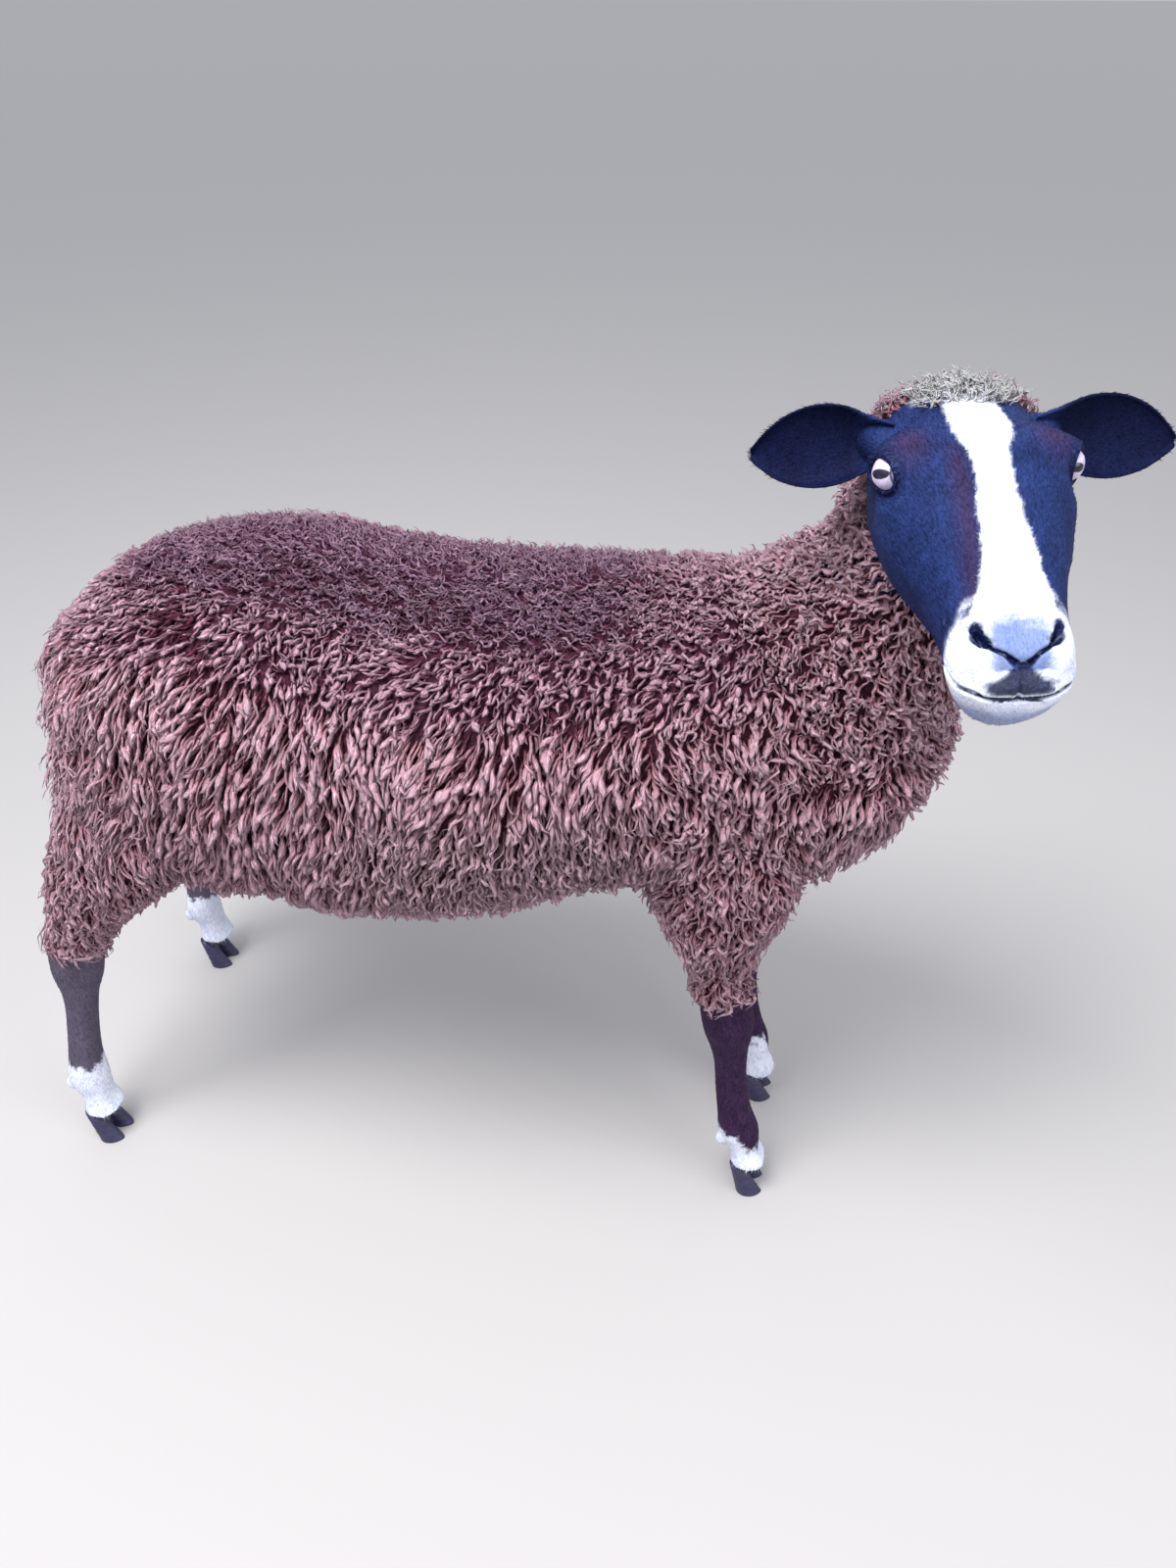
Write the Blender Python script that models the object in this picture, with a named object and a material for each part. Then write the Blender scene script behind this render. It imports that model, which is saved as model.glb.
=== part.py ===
"""Zwartbles sheep standing square with its head turned to its right, life size.

Metres, +Z up, the body along X with its chest towards +X and its left side towards +Y.
The solids are modelled whole, in fleece, and then parted by thin cuts into named pieces.
"""

import math

import bmesh
import bpy
import numpy as np
from mathutils import Matrix, Vector
from mathutils.bvhtree import BVHTree

# The sheep's feet are first set about X = Y = 0; this moves its box's centre there.
PLACE = Vector((-0.1097, 0.0505, 0.0))
GAP = 0.0003

# Torso, to the tips of the fleece: (x, height of back, height of belly, half width)
TORSO = (
    (-0.366, 0.610, 0.530, 0.050),
    (-0.353, 0.666, 0.478, 0.108),
    (-0.323, 0.704, 0.435, 0.155),
    (-0.280, 0.731, 0.393, 0.185),
    (-0.215, 0.752, 0.370, 0.203),
    (-0.130, 0.763, 0.368, 0.215),
    (0.000, 0.744, 0.366, 0.225),
    (0.110, 0.740, 0.386, 0.220),
    (0.220, 0.744, 0.428, 0.205),
    (0.320, 0.752, 0.434, 0.188),
    (0.400, 0.752, 0.430, 0.168),
    (0.460, 0.732, 0.452, 0.145),
    (0.510, 0.705, 0.495, 0.115),
    (0.540, 0.675, 0.560, 0.075),
    (0.553, 0.650, 0.600, 0.035),
)
TORSO_RINGS = 13
TORSO_SIDES = 14

# Neck, to the tips: (share of its length, x, y, z, half depth along X, half width)
NECK = (
    (0.00, 0.350, 0.000, 0.590, 0.175, 0.150),
    (0.35, 0.432, -0.006, 0.690, 0.124, 0.126),
    (0.60, 0.474, -0.022, 0.770, 0.088, 0.104),
    (0.80, 0.484, -0.042, 0.836, 0.080, 0.092),
    (1.00, 0.484, -0.062, 0.905, 0.060, 0.072),
)
NECK_RINGS = 9

# Depth of the fleece on each form, and the spacing of the rounded clumps it is made of
FLEECE = {
    "torso": (0.044, 0.087),
    "neck": (0.034, 0.068),
    "upper": (0.022, 0.062),
    "tail": (0.018, 0.046),
}
BACK_WOOL = 0.024
# The solid cores stop at this share of that depth, and the clumps set in them reach the tips
CORE_SHARE = 0.5
# Half length and half width of a clump, in spacings; how deep its middle lies; how far its end stands out
CLUMP_LONG = 0.80
CLUMP_WIDE = 0.69
CLUMP_ROOT = 0.002
CLUMP_LIFT = math.radians(8)
CLUMP_SIDES = 6
CLUMP_EVENING = 8
CLUMP_DRAWS = 4000
CLUMP_SEED = 7
# The fleece hangs down and lies a little back
GRAIN = Vector((-0.45, 0.0, -1.0))
# No clump is set lower than this on a leg, or this near the tail's root or the poll
LOWEST_CLUMP = 0.350
TAIL_CLEAR = 0.085
TAIL_ROOT = 0.560
HIGHEST_TAIL_CLUMP = 0.605
POLL_CLEAR = 0.030
# Wool between the ears, in the head's own axes
POLL_CLUMPS = ((-0.060, 0.017), (-0.063, -0.018), (-0.050, 0.001), (-0.078, 0.002))

# Head: its own axes run forward, left and up from the point midway between the eyes
HEAD_PLACE = Vector((0.499, -0.172, 0.892))
HEAD_YAW = math.radians(-80)
HEAD_PITCH = math.radians(16)
HEAD_ROLL = math.radians(3.4)
# (forward, height of forehead and nose, height of jaw, half width)
HEAD = (
    (-0.122, 0.008, -0.045, 0.032),
    (-0.112, 0.024, -0.066, 0.046),
    (-0.085, 0.040, -0.090, 0.060),
    (-0.050, 0.047, -0.100, 0.066),
    (-0.015, 0.053, -0.100, 0.0685),
    (0.015, 0.052, -0.098, 0.0675),
    (0.045, 0.043, -0.092, 0.058),
    (0.080, 0.029, -0.083, 0.047),
    (0.110, 0.015, -0.077, 0.0415),
    (0.135, 0.004, -0.076, 0.0415),
    (0.152, -0.008, -0.068, 0.036),
    (0.161, -0.022, -0.052, 0.023),
)
HEAD_RINGS = 17
HEAD_SIDES = 26
JAW_TAPER = 0.34

EYE_RADIUS = 0.0135
EYE_SEAT = Vector((-0.014, 0.0570, 0.0225))
EYE_OUTLOOK = Vector((0.50, 0.86, 0.10)).normalized()
LID_RING = 0.0118
LID_THICKNESS = 0.0034

MOUTH_HEIGHT = -0.038
MOUTH_RISE = math.radians(8)
MOUTH_CORNER = 0.088
MOUTH_GAP = 0.0026
MOUTH_DEPTH = 0.007
NOSTRIL_SEAT = Vector((0.152, 0.0175, -0.0125))
NOSTRIL_SIZE = Vector((0.010, 0.0115, 0.0032))

EAR_ROOT = Vector((-0.056, 0.052, 0.017))
EAR_SWEEP = {-1: 0.32, 1: 0.18}
EAR_DROOP = {-1: 0.16, 1: 0.13}
EAR_FACING = Vector((0.86, 0.30, 0.42)).normalized()
EAR_LENGTH = {-1: 0.108, 1: 0.120}
EAR_CUT = 0.020
EAR_WALL = 0.0045
# (share of its length, half width, depth of the cup)
EAR = (
    (0.00, 0.015, 0.0150),
    (0.15, 0.020, 0.0175),
    (0.35, 0.0290, 0.0175),
    (0.58, 0.0305, 0.0130),
    (0.80, 0.0225, 0.0085),
    (0.94, 0.0110, 0.0060),
    (1.00, 0.0045, 0.0050),
)
EAR_RINGS = 9
EAR_SIDES = 7

# Legs: (height, x, y, half depth along X, half width), from inside the body to the coronet
FORELEG = (
    (0.540, 0.335, -0.105, 0.085, 0.062),
    (0.470, 0.338, -0.104, 0.082, 0.062),
    (0.410, 0.338, -0.100, 0.058, 0.052),
    (0.355, 0.342, -0.095, 0.038, 0.040),
    (0.318, 0.346, -0.092, 0.034, 0.035),
)
FORESHANK = (
    (0.345, 0.344, -0.094, 0.024, 0.024),
    (0.300, 0.350, -0.091, 0.0265, 0.0255),
    (0.262, 0.357, -0.089, 0.0270, 0.0255),
    (0.225, 0.362, -0.088, 0.0195, 0.0185),
    (0.165, 0.368, -0.087, 0.0172, 0.0165),
    (0.122, 0.375, -0.087, 0.0195, 0.0190),
    (0.098, 0.380, -0.087, 0.0230, 0.0225),
    (0.070, 0.388, -0.086, 0.0195, 0.0205),
    (0.048, 0.394, -0.086, 0.0225, 0.0250),
)
HINDLEG = (
    (0.560, -0.235, -0.095, 0.110, 0.080),
    (0.480, -0.262, -0.118, 0.100, 0.078),
    (0.420, -0.303, -0.130, 0.078, 0.064),
    (0.365, -0.343, -0.135, 0.049, 0.047),
    (0.318, -0.366, -0.138, 0.036, 0.035),
)
HINDSHANK = (
    (0.345, -0.362, -0.135, 0.025, 0.022),
    (0.305, -0.374, -0.138, 0.0310, 0.0240),
    (0.275, -0.383, -0.139, 0.0290, 0.0230),
    (0.235, -0.388, -0.140, 0.0200, 0.0185),
    (0.175, -0.398, -0.142, 0.0172, 0.0168),
    (0.128, -0.406, -0.144, 0.0195, 0.0190),
    (0.102, -0.409, -0.145, 0.0230, 0.0225),
    (0.072, -0.404, -0.146, 0.0192, 0.0200),
    (0.048, -0.400, -0.146, 0.0225, 0.0245),
)
LEG_SIDES = 10
# How far the far, left foot stands from a mirror image of the near, right one
LEFT_FORE_SHIFT = Vector((0.004, -0.026, 0.0))
LEFT_HIND_SHIFT = Vector((0.000, 0.034, 0.0))

CLAW_LENGTH = 0.034
CLAW_WIDTH = 0.0118
CLAW_SPREAD = 0.0134
CLAW_HEIGHT = 0.060
CLAW_SIDES = 10
CORONET = 0.038
CORONET_SLOPE = math.radians(-12)

# Tail: (height, x, half depth, half width)
TAIL = (
    (0.690, -0.300, 0.022, 0.028),
    (0.662, -0.343, 0.024, 0.030),
    (0.618, -0.384, 0.021, 0.034),
    (0.560, -0.399, 0.020, 0.036),
    (0.505, -0.400, 0.017, 0.028),
    (0.485, -0.400, 0.010, 0.014),
)

# Middle and direction of the cut below the head, in the head's own axes
POLL_CUT = Vector((-0.055, 0, -0.073))
POLL_FACING = Vector((0.673, 0, 0.740))
# Heights of the cuts that part the legs
FORE_CUT = 0.418
FORE_KNEE_CUT = 0.312
HIND_KNEE_CUT = 0.312


def flow(stations, at):
    """Values of a smooth outline through the stations, each (place, value, ...), at one place."""
    table = np.array(sorted(stations))
    place, value = table[:, 0], table[:, 1:]
    step = np.diff(place)[:, None]
    slope = np.diff(value, axis=0) / step
    tangent = np.vstack([slope[:1], (slope[:-1] + slope[1:]) / 2, slope[-1:]])
    i = int(np.clip(np.searchsorted(place, at) - 1, 0, len(place) - 2))
    t = (at - place[i]) / step[i, 0]
    start = (2 * t**3 - 3 * t**2 + 1) * value[i] + (t**3 - 2 * t**2 + t) * step[i] * tangent[i]
    end = (3 * t**2 - 2 * t**3) * value[i + 1] + (t**3 - t**2) * step[i] * tangent[i + 1]
    return (start + end).tolist()


def places(stations, count):
    """Evenly spaced places from the first station to the last."""
    first, last = stations[0][0], stations[-1][0]
    return [first + (last - first) * i / (count - 1) for i in range(count)]


def section(centre, across, upward, width, rise, fall, sides, taper=0.0):
    """Ring of points, fuller than an ellipse, that narrows below its middle by the taper."""
    points = []
    for i in range(sides):
        turn = 2 * math.pi * (i + 0.5) / sides
        out = math.copysign(abs(math.cos(turn)) ** 0.88, math.cos(turn)) * width
        high = math.copysign(abs(math.sin(turn)) ** 0.88, math.sin(turn))
        if high < 0:
            out *= 1 - taper * high * high
        points.append(centre + across * out + upward * high * (rise if high > 0 else fall))
    return points


def loft(name, rings):
    """Closed body through rings of points, each end closed by a fan about its centre."""
    form = bmesh.new()
    rows = [[form.verts.new(point) for point in ring] for ring in rings]
    for row, following in zip(rows, rows[1:]):
        for i in range(len(row)):
            j = (i + 1) % len(row)
            form.faces.new((row[i], row[j], following[j], following[i]))
    for row in (rows[0], rows[-1]):
        middle = form.verts.new(sum((vert.co for vert in row), Vector()) / len(row))
        for i in range(len(row)):
            form.faces.new((row[i], row[(i + 1) % len(row)], middle))
    return body_from(form, name)


def body_from(form, name):
    """Object from a finished bmesh, with its faces outwards and in triangles."""
    bmesh.ops.recalc_face_normals(form, faces=form.faces)
    bmesh.ops.triangulate(form, faces=form.faces)
    mesh = bpy.data.meshes.new(name)
    form.to_mesh(mesh)
    form.free()
    return bpy.data.objects.new(name, mesh)


def ball(name, place, size, turn=None, sides=10, rings=6):
    """Ellipsoid of the given half sizes, turned about its centre."""
    form = bmesh.new()
    bmesh.ops.create_uvsphere(form, u_segments=sides, v_segments=rings, radius=1)
    spin = turn or Matrix.Identity(3)
    matrix = Matrix.Translation(place) @ spin.to_4x4() @ Matrix.Diagonal((*size, 1))
    bmesh.ops.transform(form, matrix=matrix, verts=form.verts)
    return body_from(form, name)


def slab(name, place, facing, width, height, thickness=GAP):
    """Thin rectangular plate across the facing direction."""
    form = bmesh.new()
    bmesh.ops.create_cube(form, size=1)
    facing = Vector(facing).normalized()
    across = facing.cross(Vector((0, 1, 0)) if abs(facing.y) < 0.7 else Vector((0, 0, 1)))
    across.normalize()
    turn = Matrix((across, facing.cross(across), facing)).transposed()
    matrix = Matrix.Translation(place) @ turn.to_4x4() @ Matrix.Diagonal((width, height, thickness, 1))
    bmesh.ops.transform(form, matrix=matrix, verts=form.verts)
    return body_from(form, name)


def combine(base, pieces, operation):
    """Applies one Boolean of all the pieces to the base, and removes the pieces."""
    group = bpy.data.collections.new("pieces")
    bpy.context.scene.collection.children.link(group)
    for piece in pieces:
        group.objects.link(piece)
    if base.name not in bpy.context.scene.collection.objects:
        bpy.context.scene.collection.objects.link(base)
    modifier = base.modifiers.new("join", "BOOLEAN")
    modifier.operation = operation
    modifier.operand_type = "COLLECTION"
    modifier.collection = group
    modifier.solver = "MANIFOLD"
    bpy.context.view_layer.update()
    mesh = bpy.data.meshes.new_from_object(base.evaluated_get(bpy.context.evaluated_depsgraph_get()))
    base.modifiers.clear()
    base.data = mesh
    for piece in pieces:
        bpy.data.objects.remove(piece)
    bpy.data.collections.remove(group)
    bpy.context.scene.collection.objects.unlink(base)
    return base


def closed_surfaces(body):
    """Each closed surface of a body, as (volume, centroid, bmesh)."""
    whole = bmesh.new()
    whole.from_mesh(body.data)
    bmesh.ops.triangulate(whole, faces=whole.faces)
    whole.verts.index_update()
    island = [-1] * len(whole.verts)
    count = 0
    for first in whole.verts:
        if island[first.index] >= 0:
            continue
        reached = [first]
        island[first.index] = count
        while reached:
            vert = reached.pop()
            for edge in vert.link_edges:
                other = edge.other_vert(vert)
                if island[other.index] < 0:
                    island[other.index] = count
                    reached.append(other)
        count += 1
    found = []
    for number in range(count):
        single = whole.copy()
        single.verts.index_update()
        others = [vert for vert in single.verts if island[vert.index] != number]
        bmesh.ops.delete(single, geom=others, context="VERTS")
        centre = sum((vert.co for vert in single.verts), Vector()) / len(single.verts)
        found.append((single.calc_volume(signed=True), centre, single))
    whole.free()
    return found


def head_matrix():
    """Turns the head's own axes (forward, left, up) to the body's."""
    flat = Vector((math.cos(HEAD_YAW), math.sin(HEAD_YAW), 0))
    forward = flat * math.cos(HEAD_PITCH) - Vector((0, 0, math.sin(HEAD_PITCH)))
    left = Vector((-math.sin(HEAD_YAW), math.cos(HEAD_YAW), 0))
    up = forward.cross(left)
    roll = Matrix.Rotation(HEAD_ROLL, 3, forward)
    return Matrix((forward, roll @ left, roll @ up)).transposed()


HEAD_TURN = head_matrix()


def from_head(point):
    return HEAD_PLACE + HEAD_TURN @ Vector(point)


def mirrored(vector, side):
    """A vector named for the left side, on the side asked for: 1 is left, -1 is right."""
    return Vector((vector[0], vector[1] * side, vector[2]))


def ear_along(side):
    """Direction from the root of an ear to its tip, in the head's axes; the left ear is held out more."""
    return Vector((-EAR_SWEEP[side], 0.93 * side, -EAR_DROOP[side])).normalized()


def torso():
    wool = FLEECE["torso"][0]
    rings = []
    forward, left, up = Vector((1, 0, 0)), Vector((0, 1, 0)), Vector((0, 0, 1))
    for x in places(TORSO, TORSO_RINGS):
        top, bottom, half = flow(TORSO, x)
        thin = CORE_SHARE * min(1, half / 0.12)
        middle = (top + bottom) / 2
        rise = (top - bottom) / 2 - thin * BACK_WOOL
        fall = (top - bottom) / 2 - thin * wool
        inset = x - math.copysign(CORE_SHARE * wool * (abs(x) > 0.36), x)
        centre = forward * inset + up * middle
        rings.append(section(centre, left, up, half - thin * wool, rise, fall, TORSO_SIDES))
    return loft("torso", rings)


def neck():
    rings = []
    for share in places(NECK, NECK_RINGS):
        x, y, z, depth, half = flow(NECK, share)
        ahead = Vector(flow(NECK, min(share + 0.05, 1))[:3])
        behind = Vector(flow(NECK, max(share - 0.05, 0))[:3])
        along = (ahead - behind).normalized()
        fore = Vector((0, 1, 0)).cross(along)
        thin = CORE_SHARE * FLEECE["neck"][0]
        rings.append(
            section(Vector((x, y, z)), Vector((0, 1, 0)), fore, half - thin, depth - thin, depth - thin, 16)
        )
    return loft("neck", rings)


def limb(name, stations, sides, rings, shift=Vector(), side=-1):
    """Tube down a leg or the tail; the shift grows from nothing at the top to all at the foot."""
    thin = CORE_SHARE * FLEECE[name][0] if name in FLEECE else 0.0
    made = []
    top, foot = stations[0][0], stations[-1][0]
    for z in places(stations, rings):
        x, y, depth, half = flow(stations, z)
        share = min(1, (0.56 - z) / 0.5)
        centre = Vector((x, -y * side, z)) + shift * share
        made.append(
            section(centre, Vector((0, 1, 0)), Vector((1, 0, 0)), half - thin, depth - thin, depth - thin, sides)
        )
    return loft(name, made if top > foot else made[::-1])


def claw(centre, side, spread):
    """One half of a hoof: a pointed oval sole at the floor, drawn in and back to the coronet."""
    rings = []
    for share in (0.0, 0.12, 1.0):
        length = CLAW_LENGTH * (1 - 0.42 * share + (0.02 if share else -0.02))
        width = CLAW_WIDTH * (1 - 0.10 * share)
        ring = []
        for i in range(CLAW_SIDES):
            turn = 2 * math.pi * i / CLAW_SIDES
            c, s = math.cos(turn), math.sin(turn)
            x = centre.x - 0.004 - 0.010 * share + length * c
            y = centre.y + side * spread + width * s * (1 - 0.28 * max(c, 0) ** 2)
            ring.append(Vector((x, y, CLAW_HEIGHT * share)))
        rings.append(ring)
    return loft("claw", rings)


def foot_pieces(stations, shift, side):
    """Dewclaws and the two claws of one foot."""
    x, y = stations[-1][1:3]
    centre = Vector((x + 0.012, -y * side, 0)) + shift
    pieces = [claw(centre, part, CLAW_SPREAD) for part in (-1, 1)]
    fetlock = stations[-3]
    at = Vector((fetlock[1], -fetlock[2] * side, fetlock[0])) + shift * 0.9
    for part in (-1, 1):
        seat = at + Vector((-fetlock[3] * 0.78, part * 0.011, -0.012))
        pieces.append(ball("dewclaw", seat, (0.0075, 0.0062, 0.0085), sides=6, rings=4))
    return pieces


def skull():
    rings = []
    for x in places(HEAD, HEAD_RINGS):
        top, jaw, half = flow(HEAD, x)
        waist = top - 0.40 * (top - jaw)
        rings.append(
            [
                from_head(point)
                for point in section(
                    Vector((x, 0, waist)), Vector((0, 1, 0)), Vector((0, 0, 1)),
                    half, top - waist, waist - jaw, HEAD_SIDES, JAW_TAPER,
                )
            ]
        )
    return loft("head", rings)


def ear(side):
    """Leaf-shaped cup, as rings that run out round its back and home round its inside."""
    along = ear_along(side)
    facing = mirrored(EAR_FACING, side)
    facing = (facing - along * facing.dot(along)).normalized()
    across = along.cross(facing)
    rings = []
    for share in places(EAR, EAR_RINGS):
        half, cup = flow(EAR, share)
        middle = mirrored(EAR_ROOT, side) + along * (EAR_LENGTH[side] * share)
        middle += Vector((0, 0, -0.010)) * share * share
        ring = []
        for wall in (0, EAR_WALL):
            turns = [math.pi * (i / (EAR_SIDES - 1) - 0.5) for i in range(EAR_SIDES)]
            for turn in turns if wall == 0 else turns[::-1]:
                reach = max(half - 0.5 * wall, 0.002) * math.sin(turn)
                sink = (cup - 0.6 * EAR_WALL if wall else cup + 0.4 * EAR_WALL) * math.cos(turn)
                ring.append(from_head(middle + across * reach - facing * (sink - (0.0 if wall else 0.0006))))
        rings.append(ring)
    return loft("ear", rings)


def axis_turn(direction, upward=Vector((0, 0, 1))):
    """Rotation that lays local Z along the direction, with local Y as near up as it can be."""
    z = direction.normalized()
    x = upward.cross(z).normalized()
    return Matrix((x, z.cross(x), z)).transposed()


def lid(side):
    """Padded rim round the eye, an oval wider than it is high."""
    form = bmesh.new()
    bmesh.ops.create_uvsphere(form, u_segments=18, v_segments=7, radius=1)
    outlook = mirrored(EYE_OUTLOOK, side)
    turn = HEAD_TURN @ axis_turn(outlook)
    size = (LID_RING + LID_THICKNESS, (LID_RING + LID_THICKNESS) * 0.84, 0.0052)
    place = from_head(mirrored(EYE_SEAT, side) + outlook * 0.0088)
    matrix = Matrix.Translation(place) @ turn.to_4x4() @ Matrix.Diagonal((*size, 1))
    bmesh.ops.transform(form, matrix=matrix, verts=form.verts)
    return body_from(form, "lid")


def eye(side, radius, sides=16, rings=10):
    place = from_head(mirrored(EYE_SEAT, side))
    turn = HEAD_TURN @ axis_turn(mirrored(EYE_OUTLOOK, side))
    return ball("eye", place, (radius,) * 3, turn, sides, rings)


def head_forms():
    """Soft forms raised on the skull: brows, ear bases, lids, lips and chin."""
    forms = []
    for side in (-1, 1):
        forms.append(lid(side))
        brow = from_head(mirrored(EYE_SEAT + Vector((-0.006, -0.006, 0.015)), side))
        forms.append(ball("brow", brow, (0.024, 0.013, 0.009), HEAD_TURN))
        along = ear_along(side)
        base = from_head(mirrored(EAR_ROOT - EAR_FACING * 0.011, side) + along * 0.006)
        forms.append(ball("ear_base", base, (0.0175, 0.0155, 0.0245), HEAD_TURN @ axis_turn(along), 12, 8))
        lip = from_head(mirrored((0.140, 0.017, -0.030), side))
        forms.append(ball("lip", lip, (0.021, 0.024, 0.0135), HEAD_TURN))
    chin = from_head((0.130, 0, -0.064))
    forms.append(ball("chin", chin, (0.024, 0.030, 0.0155), HEAD_TURN))
    return forms


def mouth_line():
    """Groove round the muzzle between the lips, rising to the front, no deeper than the mouth's depth."""
    turn = HEAD_TURN @ Matrix.Rotation(-MOUTH_RISE, 3, "Y")
    plate = ball("mouth", from_head((MOUTH_CORNER + 0.06, 0, MOUTH_HEIGHT)), (0.06, 0.06, MOUTH_GAP / 2), turn, 24, 6)
    core = []
    for x in places(HEAD[5:], 8):
        top, jaw, half = flow(HEAD, x)
        middle = (top + jaw) / 2
        deep = MOUTH_DEPTH * (0.6 if x > 0.12 else 1.0)
        core.append(
            [
                from_head(point)
                for point in section(
                    Vector((x - MOUTH_DEPTH, 0, middle)), Vector((0, 1, 0)), Vector((0, 0, 1)),
                    half - deep, (top - jaw) / 2, (top - jaw) / 2, 20, JAW_TAPER / 2,
                )
            ]
        )
    return combine(plate, [loft("core", core)], "DIFFERENCE")


def head_cutters():
    cutters = [mouth_line()]
    for side in (-1, 1):
        cutters.append(eye(side, EYE_RADIUS + GAP))
        turn = HEAD_TURN @ Matrix.Rotation(side * math.radians(32), 3, "X")
        cutters.append(ball("nostril", from_head(mirrored(NOSTRIL_SEAT, side)), NOSTRIL_SIZE, turn))
    return cutters


def leg_forms():
    """Upper and lower leg, dewclaws and claws of all four legs."""
    forms = []
    for side in (-1, 1):
        for upper, lower, left_shift in (
            (FORELEG, FORESHANK, LEFT_FORE_SHIFT),
            (HINDLEG, HINDSHANK, LEFT_HIND_SHIFT),
        ):
            shift = left_shift if side > 0 else Vector()
            forms.append(limb("upper", upper, 12, 6, shift, side))
            forms.append(limb("lower", lower, LEG_SIDES, 11, shift, side))
            forms.extend(foot_pieces(lower, shift, side))
    return forms


def tail():
    stations = [(z, x, 0.0, depth, half) for z, x, depth, half in TAIL]
    return limb("tail", stations, 10, 7)


def coronet_cuts():
    cuts = []
    facing = Vector((math.sin(CORONET_SLOPE), 0, math.cos(CORONET_SLOPE)))
    for side in (-1, 1):
        for lower, left_shift in ((FORESHANK, LEFT_FORE_SHIFT), (HINDSHANK, LEFT_HIND_SHIFT)):
            shift = left_shift if side > 0 else Vector()
            x, y = lower[-1][1:3]
            place = Vector((x, -y * side, CORONET)) + shift
            cuts.append(slab("coronet", place, facing, 0.12, 0.09))
    return cuts


def cuts():
    """Thin plates that part the body into its named pieces."""
    made = [
        slab("neck_base", Vector((0.435, 0, 0.690)), (0.65, 0, 0.76), 0.46, 0.62),
        slab("poll", from_head(POLL_CUT), HEAD_TURN @ POLL_FACING, 0.26, 0.35),
        slab("dock", Vector((-0.3595, 0, 0.645)), (-0.992, 0, 0.125), 0.076, 0.11),
        slab("elbows", Vector((0.365, 0, FORE_CUT)), (0, 0, 1), 0.30, 0.62),
        slab("knees", Vector((0.350, 0, FORE_KNEE_CUT)), (0, 0, 1), 0.16, 0.62),
        slab("hocks", Vector((-0.370, 0, HIND_KNEE_CUT)), (0, 0, 1), 0.20, 0.62),
        slab("stifles", Vector((-0.340, 0, 0.425)), (0.55, 0, 0.84), 0.262, 0.70),
    ]
    for side in (-1, 1):
        along = ear_along(side)
        place = from_head(mirrored(EAR_ROOT, side) + along * EAR_CUT)
        made.append(slab("ear_root", place, HEAD_TURN @ along, 0.075, 0.075))
    return made + coronet_cuts()


def node_seeds():
    """A point well inside each piece, by the piece's name."""
    seeds = {
        "torso": Vector((0.0, 0.0, 0.57)),
        "neck": Vector((0.46, -0.02, 0.80)),
        "head": from_head((0.02, 0, -0.02)),
        "tail": Vector((-0.438, 0, 0.57)),
    }
    for side, word in ((-1, "right"), (1, "left")):
        seeds[f"ear_{word}"] = from_head(mirrored(EAR_ROOT, side) + ear_along(side) * 0.075)
        for name, upper, lower, left_shift in (
            ("fore", FORELEG, FORESHANK, LEFT_FORE_SHIFT),
            ("hind", HINDLEG, HINDSHANK, LEFT_HIND_SHIFT),
        ):
            shift = left_shift if side > 0 else Vector()
            knee, foot = upper[-2], lower[-1]
            seeds[f"{name}leg_{word}"] = Vector((knee[1], -knee[2] * side, knee[0] + 0.02)) + shift * 0.4
            shank = lower[4]
            seeds[f"{name}shank_{word}"] = Vector((shank[1], -shank[2] * side, shank[0])) + shift * 0.8
            for part, place in ((-side, "inner"), (side, "outer")):
                at = Vector((foot[1] + 0.008, -foot[2] * side + part * CLAW_SPREAD, 0.018)) + shift
                seeds[f"{name}hoof_{word}_{place}"] = at
    return seeds


def material(name, colour, roughness):
    made = bpy.data.materials.new(name)
    made.use_nodes = True
    shader = made.node_tree.nodes["Principled BSDF"]
    shader.inputs["Base Color"].default_value = (*colour, 1)
    shader.inputs["Roughness"].default_value = roughness
    shader.inputs["Metallic"].default_value = 0.0
    made.diffuse_color = (*colour, 1)
    return made


def finish_of(name):
    """Colour and roughness of a piece by its name."""
    if name.startswith("eye"):
        return (0.45, 0.36, 0.30), 0.12
    if "hoof" in name:
        return (0.035, 0.032, 0.040), 0.45
    if name.startswith(("head", "ear")):
        return (0.020, 0.022, 0.040), 0.62
    if "shank" in name:
        return (0.070, 0.040, 0.050), 0.65
    return (0.190, 0.105, 0.110), 0.92


def spread(core, others, draw):
    """Random places on a core that are outside the others, each as (*point, *outward, spacing)."""
    kind = core.name.split(".")[0]
    mesh = core.data
    corners = np.array([[mesh.vertices[i].co for i in face.vertices] for face in mesh.polygons])
    normal = np.cross(corners[:, 1] - corners[:, 0], corners[:, 2] - corners[:, 0])
    area = np.linalg.norm(normal, axis=1)
    face = draw.choice(len(area), round(CLUMP_DRAWS * area.sum() / 2), p=area / area.sum())
    share = draw.dirichlet((1, 1, 1), len(face))
    points = (share[:, :, None] * corners[face]).sum(axis=1)
    outward = normal[face] / area[face, None]
    rows = []
    for point, out in zip(points, outward):
        ahead = [tree.ray_cast(point, out)[1] for tree in others]
        inside = any(facing is not None and facing.dot(out) > 0 for facing in ahead)
        if not inside and takes_clump(kind, Vector(point), Vector(out)):
            rows.append((*point, *out, *FLEECE[kind]))
    return rows


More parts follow.
